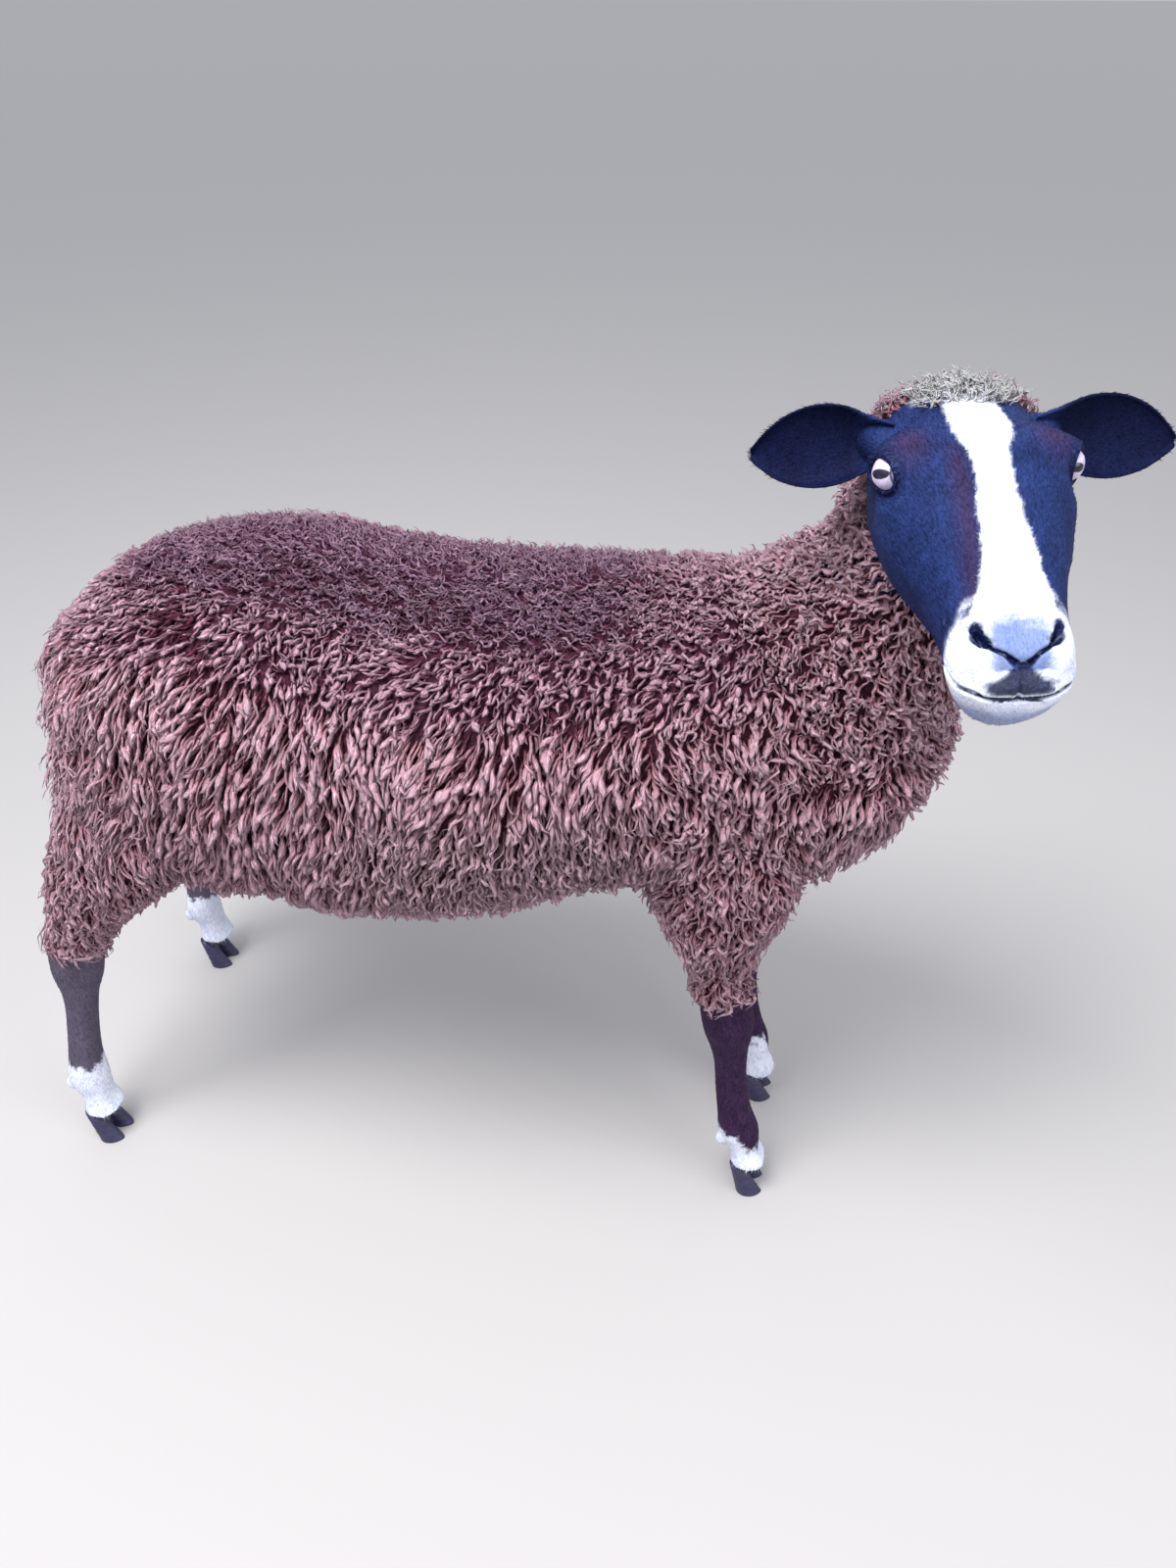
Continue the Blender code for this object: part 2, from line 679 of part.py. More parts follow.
def takes_clump(kind, place, outward):
    """Whether a clump may be rooted at a place, clear of the tail's root, the poll and the knees."""
    if kind == "torso":
        return place.x > -0.29 or abs(place.y) > TAIL_CLEAR or place.z < TAIL_ROOT
    if kind == "neck":
        return (place - from_head(POLL_CUT)).dot(HEAD_TURN @ POLL_FACING) < -POLL_CLEAR
    if kind == "tail":
        return outward.x < 0.3 and abs(outward.z) < 0.9 and place.z < HIGHEST_TAIL_CLUMP
    return place.z > LOWEST_CLUMP


def evenly(rows):
    """Picks places, each the farthest from those picked, until all are within a spacing, and evens them."""
    reach = np.full(len(rows), np.inf)
    picked = []
    while reach.max() > 1:
        picked.append(int(reach.argmax()))
        apart = np.linalg.norm(rows[:, :3] - rows[picked[-1], :3], axis=1)
        reach = np.minimum(reach, apart / rows[:, 7])
    for _ in range(CLUMP_EVENING):
        apart = np.linalg.norm(rows[:, None, :3] - rows[None, picked, :3], axis=2)
        nearest = (apart / rows[picked, 7]).argmin(axis=1)
        middles = [rows[nearest == i, :3].mean(axis=0) for i in range(len(picked))]
        picked = [int(np.linalg.norm(rows[:, :3] - middle, axis=1).argmin()) for middle in middles]
    return rows[picked]


def clump(row, draw):
    """Rounded clump rooted in the core, hanging with the grain, its lower end fuller and standing out."""
    place, outward, (wool, spacing) = Vector(row[:3]), Vector(row[3:6]), row[6:]
    if spacing == FLEECE["torso"][1]:
        wool += (BACK_WOOL - wool) * max(outward.z, 0)
    lie = (GRAIN - outward * GRAIN.dot(outward)).normalized()
    lie.rotate(Matrix.Rotation(draw.uniform(-0.35, 0.35), 3, outward))
    across = outward.cross(lie)
    lifted = lie * math.cos(CLUMP_LIFT) + outward * math.sin(CLUMP_LIFT)
    turn = Matrix((lifted, across, lifted.cross(across))).transposed().to_4x4()
    size = (
        spacing * CLUMP_LONG * draw.uniform(0.9, 1.1),
        spacing * CLUMP_WIDE * draw.uniform(0.9, 1.1),
        wool * (1 - CORE_SHARE) * draw.uniform(0.9, 1.05) + CLUMP_ROOT,
    )
    form = bmesh.new()
    bmesh.ops.create_uvsphere(form, u_segments=CLUMP_SIDES, v_segments=4, radius=1)
    matrix = Matrix.Translation(place - outward * CLUMP_ROOT) @ turn @ Matrix.Diagonal((*size, 1))
    bmesh.ops.transform(form, matrix=matrix, verts=form.verts)
    return body_from(form, "clump")


def fleece(cores, others):
    """Clumps spread over every core of the fleece, and a few small ones between the ears."""
    draw = np.random.default_rng(CLUMP_SEED)
    trees = {form: surface_tree(form) for form in cores + others}
    rows = []
    for core in cores:
        rows += spread(core, [tree for form, tree in trees.items() if form is not core], draw)
    clumps = [clump(row, draw) for row in evenly(np.array(rows))]
    for x, y in POLL_CLUMPS:
        place = from_head((x, y, flow(HEAD, x)[0] - 0.004))
        clumps.append(ball("poll", place, (0.017, 0.014, 0.015), HEAD_TURN, 6, 4))
    return clumps


def surface_tree(form):
    mesh = form.data
    return BVHTree.FromPolygons([vert.co for vert in mesh.vertices], [face.vertices for face in mesh.polygons])


def whole_sheep():
    """The body as one closed surface, still without its cuts."""
    body = torso()
    legs = leg_forms()
    cores = [body, neck(), tail()] + [form for form in legs if form.name.startswith("upper")]
    bare = [skull()] + [form for form in legs if not form.name.startswith("upper")]
    forms = cores[1:] + bare + fleece(cores, bare) + [ear(-1), ear(1)] + head_forms()
    combine(body, forms, "UNION")
    return combine(body, head_cutters(), "DIFFERENCE")


def parted(body):
    """The largest closed surface for each named piece, once the cuts are made."""
    combine(body, cuts(), "DIFFERENCE")
    seeds = node_seeds()
    best = {}
    for volume, centre, surface in closed_surfaces(body):
        name = min(seeds, key=lambda word: (seeds[word] - centre).length)
        if volume > best.get(name, (0, None))[0]:
            best[name] = (volume, surface)
    bpy.data.objects.remove(body)
    return {name: body_from(surface, name) for name, (_, surface) in best.items()}


def main():
    for old in list(bpy.data.objects):
        bpy.data.objects.remove(old)
    sheep = bpy.data.collections.new("zwartbles_sheep")
    bpy.context.scene.collection.children.link(sheep)
    pieces = parted(whole_sheep())
    for side, word in ((-1, "right"), (1, "left")):
        pieces[f"eye_{word}"] = eye(side, EYE_RADIUS)
        pieces[f"eye_{word}"].name = f"eye_{word}"
    for name, piece in pieces.items():
        piece.name = name
        piece.data.transform(Matrix.Translation(PLACE))
        piece.data.materials.clear()
        piece.data.materials.append(material(name, *finish_of(name)))
        sheep.objects.link(piece)


if __name__ == "__main__":
    main()
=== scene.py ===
"""Zwartbles sheep, dressed for rendering: one skin, eyes, hooves and a coat of locks and short hair."""

import math
from types import SimpleNamespace

import bmesh
import bpy
import numpy as np
from bpy.props import FloatProperty, FloatVectorProperty, IntProperty, PointerProperty
from mathutils import Matrix, Vector
from mathutils.bvhtree import BVHTree
from mathutils.kdtree import KDTree


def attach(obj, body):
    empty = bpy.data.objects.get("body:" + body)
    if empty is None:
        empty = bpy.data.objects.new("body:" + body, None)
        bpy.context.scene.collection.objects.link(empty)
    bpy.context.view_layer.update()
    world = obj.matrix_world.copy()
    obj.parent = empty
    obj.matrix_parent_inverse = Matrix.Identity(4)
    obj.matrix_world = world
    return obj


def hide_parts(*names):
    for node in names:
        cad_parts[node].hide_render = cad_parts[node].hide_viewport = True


bl_info = {
    "name": "Zwartbles sheep",
    "version": (1, 0, 0),
    "blender": (4, 5, 0),
    "location": "3D View > Sidebar > Sheep",
    "description": "Skin, eyes, hooves, fleece and short coat over the sheep's solids",
    "category": "Object",
}

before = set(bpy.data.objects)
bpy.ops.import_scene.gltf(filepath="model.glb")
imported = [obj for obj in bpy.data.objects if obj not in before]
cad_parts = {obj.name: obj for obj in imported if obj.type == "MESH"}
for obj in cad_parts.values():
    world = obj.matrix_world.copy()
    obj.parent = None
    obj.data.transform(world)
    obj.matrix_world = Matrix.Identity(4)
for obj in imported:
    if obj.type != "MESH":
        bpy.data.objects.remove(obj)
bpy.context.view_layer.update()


def metres(table):
    """Table of sizes given in millimetres, in metres."""
    return np.array(table) / 1000


AHEAD, LEFT, UP = np.eye(3)
# The body's own axes run to the chest (+X), to its left side (+Y) and up.
# This moves them to the model's frame.
PLACE = np.array((-0.1097, 0.0505, 0.0))
# Torso, to the tips of the fleece, in mm: (x, height of back, height of belly, half width)
TORSO = metres((
    (-366, 610, 530, 50), (-353, 666, 478, 108), (-323, 704, 435, 155), (-280, 731, 393, 185),
    (-215, 752, 370, 203), (-130, 763, 368, 215), (0, 744, 366, 225), (110, 740, 386, 220),
    (220, 744, 428, 205), (320, 752, 434, 188), (400, 752, 430, 168), (460, 732, 452, 145),
    (510, 705, 495, 115), (540, 675, 560, 75), (553, 650, 600, 35),
))
# Neck, to the tips: (share of its length, x, y, z, half depth, half width)
NECK = (
    (0, 0.35, 0, 0.59, 0.175, 0.15), (0.35, 0.432, -0.006, 0.69, 0.124, 0.126),
    (0.6, 0.474, -0.022, 0.77, 0.088, 0.104), (0.8, 0.484, -0.042, 0.836, 0.08, 0.092),
    (1, 0.484, -0.062, 0.905, 0.06, 0.072),
)
# Depth of the fleece over each form, and the share of it that lies under the skin's own surface
WOOL = {"torso": 0.044, "back": 0.024, "neck": 0.034, "upper": 0.022, "tail": 0.018}
CORE_SHARE = 0.5
POLL_DEPTH = 0.013

# Head: its own axes run forward, left and up from the point midway between the eyes
HEAD_PLACE = np.array(Vector((0.499, -0.172, 0.892)))
HEAD_YAW, HEAD_PITCH, HEAD_ROLL = math.radians(-80), math.radians(16), math.radians(3.4)
# In mm: (forward, height of forehead and nose, height of jaw, half width)
HEAD = metres((
    (-122, 8, -45, 32), (-112, 24, -66, 46), (-85, 40, -90, 60), (-50, 47, -100, 66),
    (-15, 53, -100, 68.5), (15, 52, -98, 67.5), (45, 43, -92, 58), (80, 29, -83, 47),
    (110, 15, -77, 41.5), (135, 4, -76, 41.5), (152, -8, -68, 36), (161, -22, -52, 23),
))
HEAD_WAIST = 0.40
JAW_TAPER = 0.34
# Radius of the eye's socket, and how much smaller the eyeball is
EYE_RADIUS, EYE_GAP = 0.0142, 0.0002
EYE_SEAT = np.array((-0.014, 0.0600, 0.0225))
EYE_OUTLOOK = np.array((0.50, 0.86, 0.10)) / math.sqrt(0.50**2 + 0.86**2 + 0.10**2)
# Half widths of the open lids to the front and back, and their half height
LID_FRONT, LID_BACK, LID_HIGH = 0.0122, 0.0138, 0.0116
# Nothing deeper than this belongs to the eye
EYE_DEPTH = 0.03
# Where each pupil's middle lies on its eyeball: back, up and out
GAZE = {-1: (-0.10, 0.20, 0.97), 1: (-0.56, 0.26, 0.78)}
EAR_ROOT = np.array((-0.056, 0.052, 0.017))
EAR_SWEEP, EAR_DROOP, EAR_LENGTH = {-1: 0.32, 1: 0.18}, {-1: 0.16, 1: 0.13}, {-1: 0.108, 1: 0.120}
EAR_FACING = np.array((0.86, 0.30, 0.42))
EAR_WALL = 0.0040
# (share of its length, half width, depth of the cup)
EAR = (
    (0, 0.015, 0.015), (0.15, 0.02, 0.0175), (0.35, 0.029, 0.0175), (0.58, 0.0305, 0.013),
    (0.8, 0.0225, 0.0085), (0.94, 0.011, 0.006), (1, 0.0045, 0.005),
)
# Legs, in mm: (height, x, y, half depth, half width), right side
FORELEG = metres((
    (540, 335, -105, 85, 62), (470, 338, -104, 82, 62), (410, 338, -100, 58, 52), (355, 342, -95, 38, 40),
    (318, 346, -92, 34, 35),
))
FORESHANK = metres((
    (345, 344, -94, 24, 24), (300, 350, -91, 26.5, 25.5), (262, 357, -89, 27, 25.5),
    (225, 362, -88, 19.5, 18.5), (165, 368, -87, 17.2, 16.5), (122, 375, -87, 19.5, 19),
    (98, 380, -87, 23, 22.5), (70, 388, -86, 19.5, 20.5), (48, 394, -86, 22.5, 25),
))
HINDLEG = metres((
    (560, -235, -95, 110, 80), (480, -262, -118, 100, 78), (420, -303, -130, 78, 64),
    (365, -343, -135, 49, 47), (318, -366, -138, 36, 35),
))
HINDSHANK = metres((
    (345, -362, -135, 25, 22), (305, -374, -138, 31, 24), (275, -383, -139, 29, 23),
    (235, -388, -140, 20, 18.5), (175, -398, -142, 17.2, 16.8), (128, -406, -144, 19.5, 19),
    (102, -409, -145, 23, 22.5), (72, -404, -146, 19.2, 20), (48, -400, -146, 22.5, 24.5),
))
LEFT_SHIFT = {"fore": np.array((0.004, -0.026, 0.0)), "hind": np.array((0.000, 0.034, 0.0))}
LEGS = [
    (name, side, upper, lower, LEFT_SHIFT[name] * (side > 0))
    for side in (-1, 1)
    for name, upper, lower in (("fore", FORELEG, FORESHANK), ("hind", HINDLEG, HINDSHANK))
]
# Tail, in mm: (height, x, half depth, half width)
TAIL = metres((
    (690, -300, 22, 28), (662, -343, 24, 30), (618, -384, 21, 34), (560, -399, 20, 36),
    (505, -400, 17, 28), (485, -400, 10, 14),
))
# Half sizes of a dewclaw
DEWCLAW = (0.0075, 0.0060, 0.0095)
CLAW_LENGTH, CLAW_WIDTH, CLAW_SPREAD, CORONET = 0.030, 0.0118, 0.0120, 0.038

# Soft pushes that shape the left half of the face, mirrored to the right, in mm: (place, reach, push)
FACE_PUSHES = metres((
    ((-44, 60, 38), (18, 16, 14), (0, -4, -2)), ((-12, 53, 42), (20, 11, 8), (0, 2, 4)),
    ((-16, 62, 3), (24, 14, 8), (0, 2, 0)), ((30, 52, -14), (34, 12, 10), (0, 3.5, 0)),
    ((22, 48, 14), (18, 12, 13), (0, -4.5, 0)), ((-30, 55, -45), (34, 20, 30), (0, 4, 0)),
    ((62, 40, -45), (24, 14, 20), (0, -3.5, 0)), ((80, 21, 26), (45, 8, 8), (0, 1, 2)),
    ((144, 27, -10), (13, 8, 8), (1, 3.5, 1.5)), ((150, 28, -24), (12, 8, 6), (-1, -1, 0)),
    ((146, 22, -30), (17, 15, 9), (3, 2, 0)), ((150, 0, -4), (13, 14, 9), (1.5, 0, 2)),
    ((140, 12, -54), (18, 16, 7), (3, 1, 0)), ((126, 0, -72), (20, 20, 10), (2, 0, -1)),
    ((-62, 45, -80), (26, 20, 20), (0, 2, -3)), ((-12, 0, 56), (30, 26, 14), (0, 0, 2)),
))
NOSTRIL = metres((
    (133.5, 27.2, -2.2), (137.5, 22.8, -6), (143, 18, -5.5), (148, 11.2, -5.2), (151.5, 4.5, -9.5),
))
PHILTRUM = metres((
    (154, 1, -10.5), (158, 1, -19), (160, 0, -34.5),
))
MOUTH = metres((
    (95, 47, -40), (115, 45.5, -36), (133, 43, -32.5), (147, 39.8, -30.3), (158, 28.5, -29.6),
    (160, 14, -33.5), (160, 0, -35.2),
))
# Soft pushes on a lower leg for its joints, tendons and pastern: (height, forward or back, reach, push)
SHANK_PUSHES = {
    "fore": ((0.285, 1, 0.020, 0.0030), (0.235, -1, 0.030, 0.0020), (0.150, -1, 0.050, 0.0022)),
    "hind": ((0.318, -1, 0.020, 0.0080), (0.262, 1, 0.020, 0.0030), (0.170, -1, 0.050, 0.0026)),
    "both": ((0.150, 1, 0.060, -0.0010), (0.060, 1, 0.016, -0.0035), (0.060, -1, 0.014, -0.0040)),
}

# Voxel sizes at which the overlapping bodies of the skin are fused
HEAD_VOXEL, BODY_VOXEL, SHANK_VOXEL = 0.0023, 0.0095, 0.0034

# Kinds of wool by the form or place where they grow, and what each number says
WOOL_SIZES = (
    "spacing", "length", "girth", "bulb", "crimp", "waves", "spread", "height", "clump_spacing",
    "wisps", "shine",
)
WOOL_KINDS = {
    "back": (0.0062, 0.020, 0.0016, 0.00, 0.0026, 1.9, 1.40, 0.95, 0.018, 1.2, -0.05),
    "scale": (0.0078, 0.019, 0.0030, 0.60, 0.0012, 1.1, 0.60, 0.90, 0.022, 1.0, 0.0),
    "drop": (0.0086, 0.034, 0.0033, 0.90, 0.0015, 1.2, 0.30, 1.00, 0.028, 1.3, 0.04),
    "rear": (0.0086, 0.042, 0.0026, 0.30, 0.0022, 1.6, 0.42, 1.00, 0.044, 0.8, 0.50),
    "low": (0.0082, 0.024, 0.0026, 0.35, 0.0020, 2.0, 0.50, 0.85, 0.040, 0.8, 0.50),
    "belly": (0.0115, 0.026, 0.0044, 0.30, 0.0020, 1.5, 0.60, 0.85, 0.040, 0.0, 0.45),
    "front": (0.0082, 0.022, 0.0029, 0.45, 0.0020, 1.5, 0.80, 1.00, 0.034, 0.6, 0.42),
    "neck": (0.0074, 0.018, 0.0026, 0.35, 0.0022, 1.6, 1.10, 1.00, 0.024, 0.9, 0.62),
    "leg": (0.0086, 0.023, 0.0028, 0.40, 0.0018, 1.5, 0.45, 1.00, 0.026, 0.4, 0.35),
    "poll": (0.0050, 0.015, 0.0013, 0.00, 0.0024, 1.5, 1.40, 1.00, 0.014, 2.0, 0.3),
}
LOCK_RINGS, WISP_RINGS, SIDES = 7, 6, 3
ROOTS, POLL_ROOTS = 110000, 6000
FLEECE_PIECES, WISP_PIECES = 8, 2
# Depth of the roots of locks and hairs below the skin, and half the thickness of a hair, from and to
LOCK_ROOT, HAIR_ROOT, HAIR_GIRTH = 0.003, 0.0006, (0.00026, 0.00044)
# Chance of a stray wisp in any wool, before what its kind adds
WISP_CHANCE = 0.35
# Half the width of a tuft's patch on the unwrap
BAKE_PATCH = 0.0015
# Places where the fleece is parted or folded, darkened with painted shade and lowered: (path in the body's
# own axes, reach, darkening by painted shade, lowering)
PARTINGS = (
    (((-0.185, -0.110, 0.722), (-0.150, -0.125, 0.712)), 0.034, 0.55, 0.15),
    (((-0.158, -0.123, 0.715), (-0.112, -0.168, 0.672), (-0.078, -0.192, 0.617)), 0.011, 0.75, 0.45),
    (((0.262, -0.185, 0.560), (0.285, -0.170, 0.480), (0.270, -0.160, 0.420)), 0.014, 0.60, 0.45),
    (((0.300, -0.165, 0.690), (0.345, -0.150, 0.610), (0.360, -0.145, 0.540)), 0.007, 0.45, 0.40),
    (((0.395, -0.125, 0.690), (0.430, -0.125, 0.600), (0.420, -0.120, 0.520)), 0.007, 0.45, 0.40),
)
# Painted shade under the jaw: (place, reach, darkening)
JAW_SHADE = ((0.477, -0.109, 0.762), 0.060, 0.50)

# White blaze, in mm: (forward, right edge, left edge)
BLAZE = metres((
    (-110, -30, 30), (-65, -19.5, 20), (-16, -21.4, 19), (13, -15.7, 10), (26, -14.6, 9.7),
    (55, -16.7, 11.7), (81, -17.5, 16.6), (99, -20.7, 20.9), (110, -25.3, 25.6), (126, -34.6, 30),
    (165, -50, 50),
))
SOCK_TOP = {"fore": 0.104, "hind": 0.128}
SOCK_TONGUE = {"fore": 0.030, "hind": 0.006}
WOOL_HEM = 0.318
MARK_SEED = 3

CAMERA_PLACE = (0.366, -1.023, 1.2)
CAMERA_TURN, CAMERA_TILT = math.radians(10), math.radians(34)
# Both in mm, as Blender's cameras have them
CAMERA_LENS, SENSOR_WIDTH = 27.045, 36
# (name, place, side, power in watts)
SOFT_LIGHTS = (("key_light", (-0.5, -1.1, 2.9), 1.4, 120), ("fill_light", (2.2, -1.2, 1.8), 1.6, 26))
LIGHT_TARGET = Vector((0.1, 0, 0.6))
SKY_COLOUR, SKY_STRENGTH = (0.88, 0.92, 1.0, 1.0), 0.95
FLOOR_SIZE = 400


def unit(rows):
    return rows / np.maximum(np.linalg.norm(rows, axis=-1, keepdims=True), 1e-9)


def ease(low, high, value):
    share = np.clip((value - low) / (high - low), 0, 1)
    return share * share * (3 - 2 * share)


def bell(value, width):
    """Smooth hump that is 1 at 0."""
    return np.exp(-((value / width) ** 2))


def flow(stations, at):
    """Values of a smooth outline through the stations, one row for each place."""
    table = np.array(stations)
    table = table[table[:, 0].argsort()]
    place, value = table[:, 0], table[:, 1:]
    at = np.atleast_1d(np.asarray(at, float))
    step = np.diff(place)[:, None]
    slope = np.diff(value, axis=0) / step
    tangent = np.vstack([slope[:1], (slope[:-1] + slope[1:]) / 2, slope[-1:]])
    i = np.clip(np.searchsorted(place, at) - 1, 0, len(place) - 2)
    t = (at - place[i])[:, None] / step[i]
    start = (2 * t**3 - 3 * t**2 + 1) * value[i] + (t**3 - 2 * t**2 + t) * step[i] * tangent[i]
    end = (3 * t**2 - 2 * t**3) * value[i + 1] + (t**3 - t**2) * step[i] * tangent[i + 1]
    return start + end


def head_turn():
    """Turns the head's own axes to the body's."""
    flat = Vector((math.cos(HEAD_YAW), math.sin(HEAD_YAW), 0))
    forward = flat * math.cos(HEAD_PITCH) - Vector((0, 0, math.sin(HEAD_PITCH)))
    left = Vector((-math.sin(HEAD_YAW), math.cos(HEAD_YAW), 0))
    roll = Matrix.Rotation(HEAD_ROLL, 3, forward)
    return np.array(Matrix((forward, roll @ left, roll @ forward.cross(left))).transposed())


HEAD_TURN = head_turn()


def from_head(points):
    return np.asarray(points) @ HEAD_TURN.T + HEAD_PLACE + PLACE


def to_head(points):
    return (np.asarray(points) - PLACE - HEAD_PLACE) @ HEAD_TURN


def mirrored(vector, side):
    return np.asarray(vector) * (1, side, 1)


def axis_turn(direction):
    """Columns across, up and along a direction."""
    z = unit(np.asarray(direction, float))
    x = unit(np.cross(UP, z))
    return np.stack([x, np.cross(z, x), z], axis=1)


def eye_axes(side):
    """Middle of an eyeball, and the turn from its own axes to the head's."""
    return mirrored(EYE_SEAT, side), axis_turn(mirrored(EYE_OUTLOOK, side))


def ear_along(side):
    return unit(np.array((-EAR_SWEEP[side], 0.93 * side, -EAR_DROOP[side])))


def hoops(centre, upward, width, rise, fall, sides, taper=0.0):
    """Rings round a row of centres, a little fuller than ovals, one row of points for each."""
    turn = 2 * np.pi * (np.arange(sides) + 0.5) / sides
    out, high = (np.sign(part) * abs(part) ** 0.88 for part in (np.cos(turn), np.sin(turn)))
    narrow = 1 - taper * np.minimum(high, 0) ** 2
    lift = np.where(high > 0, rise[:, None] * high, fall[:, None] * high)
    return centre[:, None] + LEFT * (width[:, None] * out * narrow)[..., None] + upward * lift[..., None]


def torso_rings():
    x = np.linspace(TORSO[0][0], TORSO[-1][0], 70)
    top, bottom, half = flow(TORSO, x).T
    thin = CORE_SHARE * np.minimum(1, half / 0.12)
    ends = np.sign(x) * CORE_SHARE * WOOL["torso"] * ease(0.30, 0.37, abs(x))
    centre = np.stack([x - ends, 0 * x, (top + bottom) / 2], 1)
    half -= thin * WOOL["torso"]
    rise = (top - bottom) / 2 - thin * WOOL["back"]
    fall = (top - bottom) / 2 - thin * WOOL["torso"]
    return hoops(centre, UP, half, rise, fall, 72) + PLACE


def neck_rings():
    x, y, z, depth, half = flow(NECK, np.linspace(0, 1, 36)).T
    centre = np.stack([x, y, z], 1)
    fore = unit(np.cross(LEFT, unit(np.gradient(centre, axis=0))))
    thin = CORE_SHARE * WOOL["neck"]
    return hoops(centre, fore[:, None], half - thin, depth - thin, depth - thin, 48) + PLACE


def limb_rings(stations, kind, shift, side, count=30, sides=36):
    z = np.linspace(stations[0][0], stations[-1][0], count)
    x, y, depth, half = flow(stations, z).T
    thin = CORE_SHARE * WOOL[kind] if kind in WOOL else 0.0
    centre = np.stack([x, -y * side, z], 1) + shift * np.minimum(1, (0.56 - z) / 0.5)[:, None]
    return hoops(centre, AHEAD, half - thin, depth - thin, depth - thin, sides) + PLACE


def wool_forms():
    """Each form under the wool of the trunk and limbs: its name, the depth of its wool and its rings."""
    tail = [(z, x, 0.0, depth, half) for z, x, depth, half in TAIL]
    forms = [("torso", "torso", torso_rings()), ("neck", "neck", neck_rings())]
    forms.append(("tail", "tail", limb_rings(tail, "tail", 0 * UP, -1, 24, 20)))
    for name, side, upper, _, shift in LEGS:
        forms.append((name, "upper", limb_rings(upper, "upper", shift, side)))
    return forms


def skull_rings(count, sides):
    x = np.linspace(HEAD[0][0], HEAD[-1][0], count)
    top, jaw, half = flow(HEAD, x).T
    waist = top - HEAD_WAIST * (top - jaw)
    centre = np.stack([x, 0 * x, waist], 1)
    return from_head(hoops(centre, UP, half, top - waist, waist - jaw, sides, JAW_TAPER))


def ear_rings(side, count=72, sides=30):
    """Leaf-shaped cup: each ring runs out round its back and home round its inside."""
    along = ear_along(side)
    facing = mirrored(EAR_FACING, side)
    facing = unit(facing - along * facing.dot(along))
    across = np.cross(along, facing)
    share = np.linspace(0, 1, count)
    half, cup = flow(EAR, share).T
    middle = mirrored(EAR_ROOT, side) + along * (EAR_LENGTH[side] * share)[:, None]
    middle[:, 2] -= 0.010 * share**2
    turn = np.pi * (np.arange(sides) / (sides - 1) - 0.5)
    rings = []
    for wall, turns in ((0, turn), (EAR_WALL, turn[::-1])):
        reach = np.maximum(half - 0.5 * wall, 0.002)[:, None] * np.sin(turns)
        sink = (cup + (0.4 * EAR_WALL if wall == 0 else -0.6 * EAR_WALL))[:, None] * np.cos(turns)
        rings.append(middle[:, None] + across * reach[..., None] - facing * sink[..., None])
    return from_head(np.concatenate(rings, axis=1))


def read(items, name, kind=np.float32, width=3):
    """One value of many mesh items, as rows."""
    values = np.empty(len(items) * width, kind)
    items.foreach_get(name, values)
    return values.reshape(-1, width)


def points_of(piece):
    return read(piece.data.vertices, "co").astype(float)


def normals_of(piece):
    return read(piece.data.vertices, "normal").astype(float)


def surface_tree(points, piece):
    """Search tree over a piece's faces, with its points at the given places."""
    return BVHTree.FromPolygons(points.tolist(), [list(face.vertices) for face in piece.data.polygons])


def move_points(piece, points):
    piece.data.vertices.foreach_set("co", points.astype(np.float32).ravel())
    piece.data.update()


def give(piece, name, values):
    attribute = piece.data.attributes.new(name, "FLOAT_VECTOR", "POINT")
    attribute.data.foreach_set("vector", np.ascontiguousarray(values, np.float32).ravel())


def bake_map(piece, roots, t, angle):
    """Unwrap named OFBake: a small patch for each tuft at its root's place."""
    patch = roots[:, None] + BAKE_PATCH * np.stack([np.cos(angle), 2 * t - 1], axis=-1)
    corners = read(piece.data.loops, "vertex_index", np.int32, 1).ravel()
    layer = piece.data.uv_layers.new(name="OFBake")
    layer.uv.foreach_set("vector", patch.reshape(-1, 2)[corners].astype(np.float32).ravel())


def fill_mesh(name, points, corners, starts):
    """Mesh object from flat arrays: points, the corners of all faces, and where each face starts."""
    mesh = bpy.data.meshes.new(name)
    for items, key, values, kind, width in (
        (mesh.vertices, "co", points, np.float32, 3),
        (mesh.loops, "vertex_index", corners, np.int32, 1),
        (mesh.polygons, "loop_start", starts, np.int32, 1),
    ):
        values = np.asarray(values, kind).ravel()
        items.add(len(values) // width)
        items.foreach_set(key, values)
    mesh.update(calc_edges=True)
    mesh.shade_smooth()
    piece = bpy.data.objects.new(name, mesh)
    bpy.context.scene.collection.objects.link(piece)
    return piece


def tube(name, rings):
    """Closed body through rings of points, its ends closed by fans."""
    count, sides = rings.shape[:2]
    grid = np.arange(count * sides).reshape(count, sides)
    after = np.roll(grid, -1, axis=1)
    quads = np.stack([grid[:-1], after[:-1], after[1:], grid[1:]], axis=-1).reshape(-1, 4)
    ends = [
        np.stack([after[0], grid[0], np.full(sides, count * sides)], axis=1),
        np.stack([grid[-1], after[-1], np.full(sides, count * sides + 1)], axis=1),
    ]
    points = np.vstack([rings.reshape(-1, 3), rings[0].mean(axis=0), rings[-1].mean(axis=0)])
    corners = np.concatenate([quads.ravel(), ends[0].ravel(), ends[1].ravel()])
    starts = np.concatenate([4 * np.arange(len(quads)), 4 * len(quads) + 3 * np.arange(2 * sides)])
    piece = fill_mesh(name, points, corners, starts)
    form = bmesh.new()
    form.from_mesh(piece.data)
    bmesh.ops.recalc_face_normals(form, faces=form.faces)
    if form.calc_volume(signed=True) < 0:
        bmesh.ops.reverse_faces(form, faces=form.faces)
    form.to_mesh(piece.data)
    form.free()
    return piece


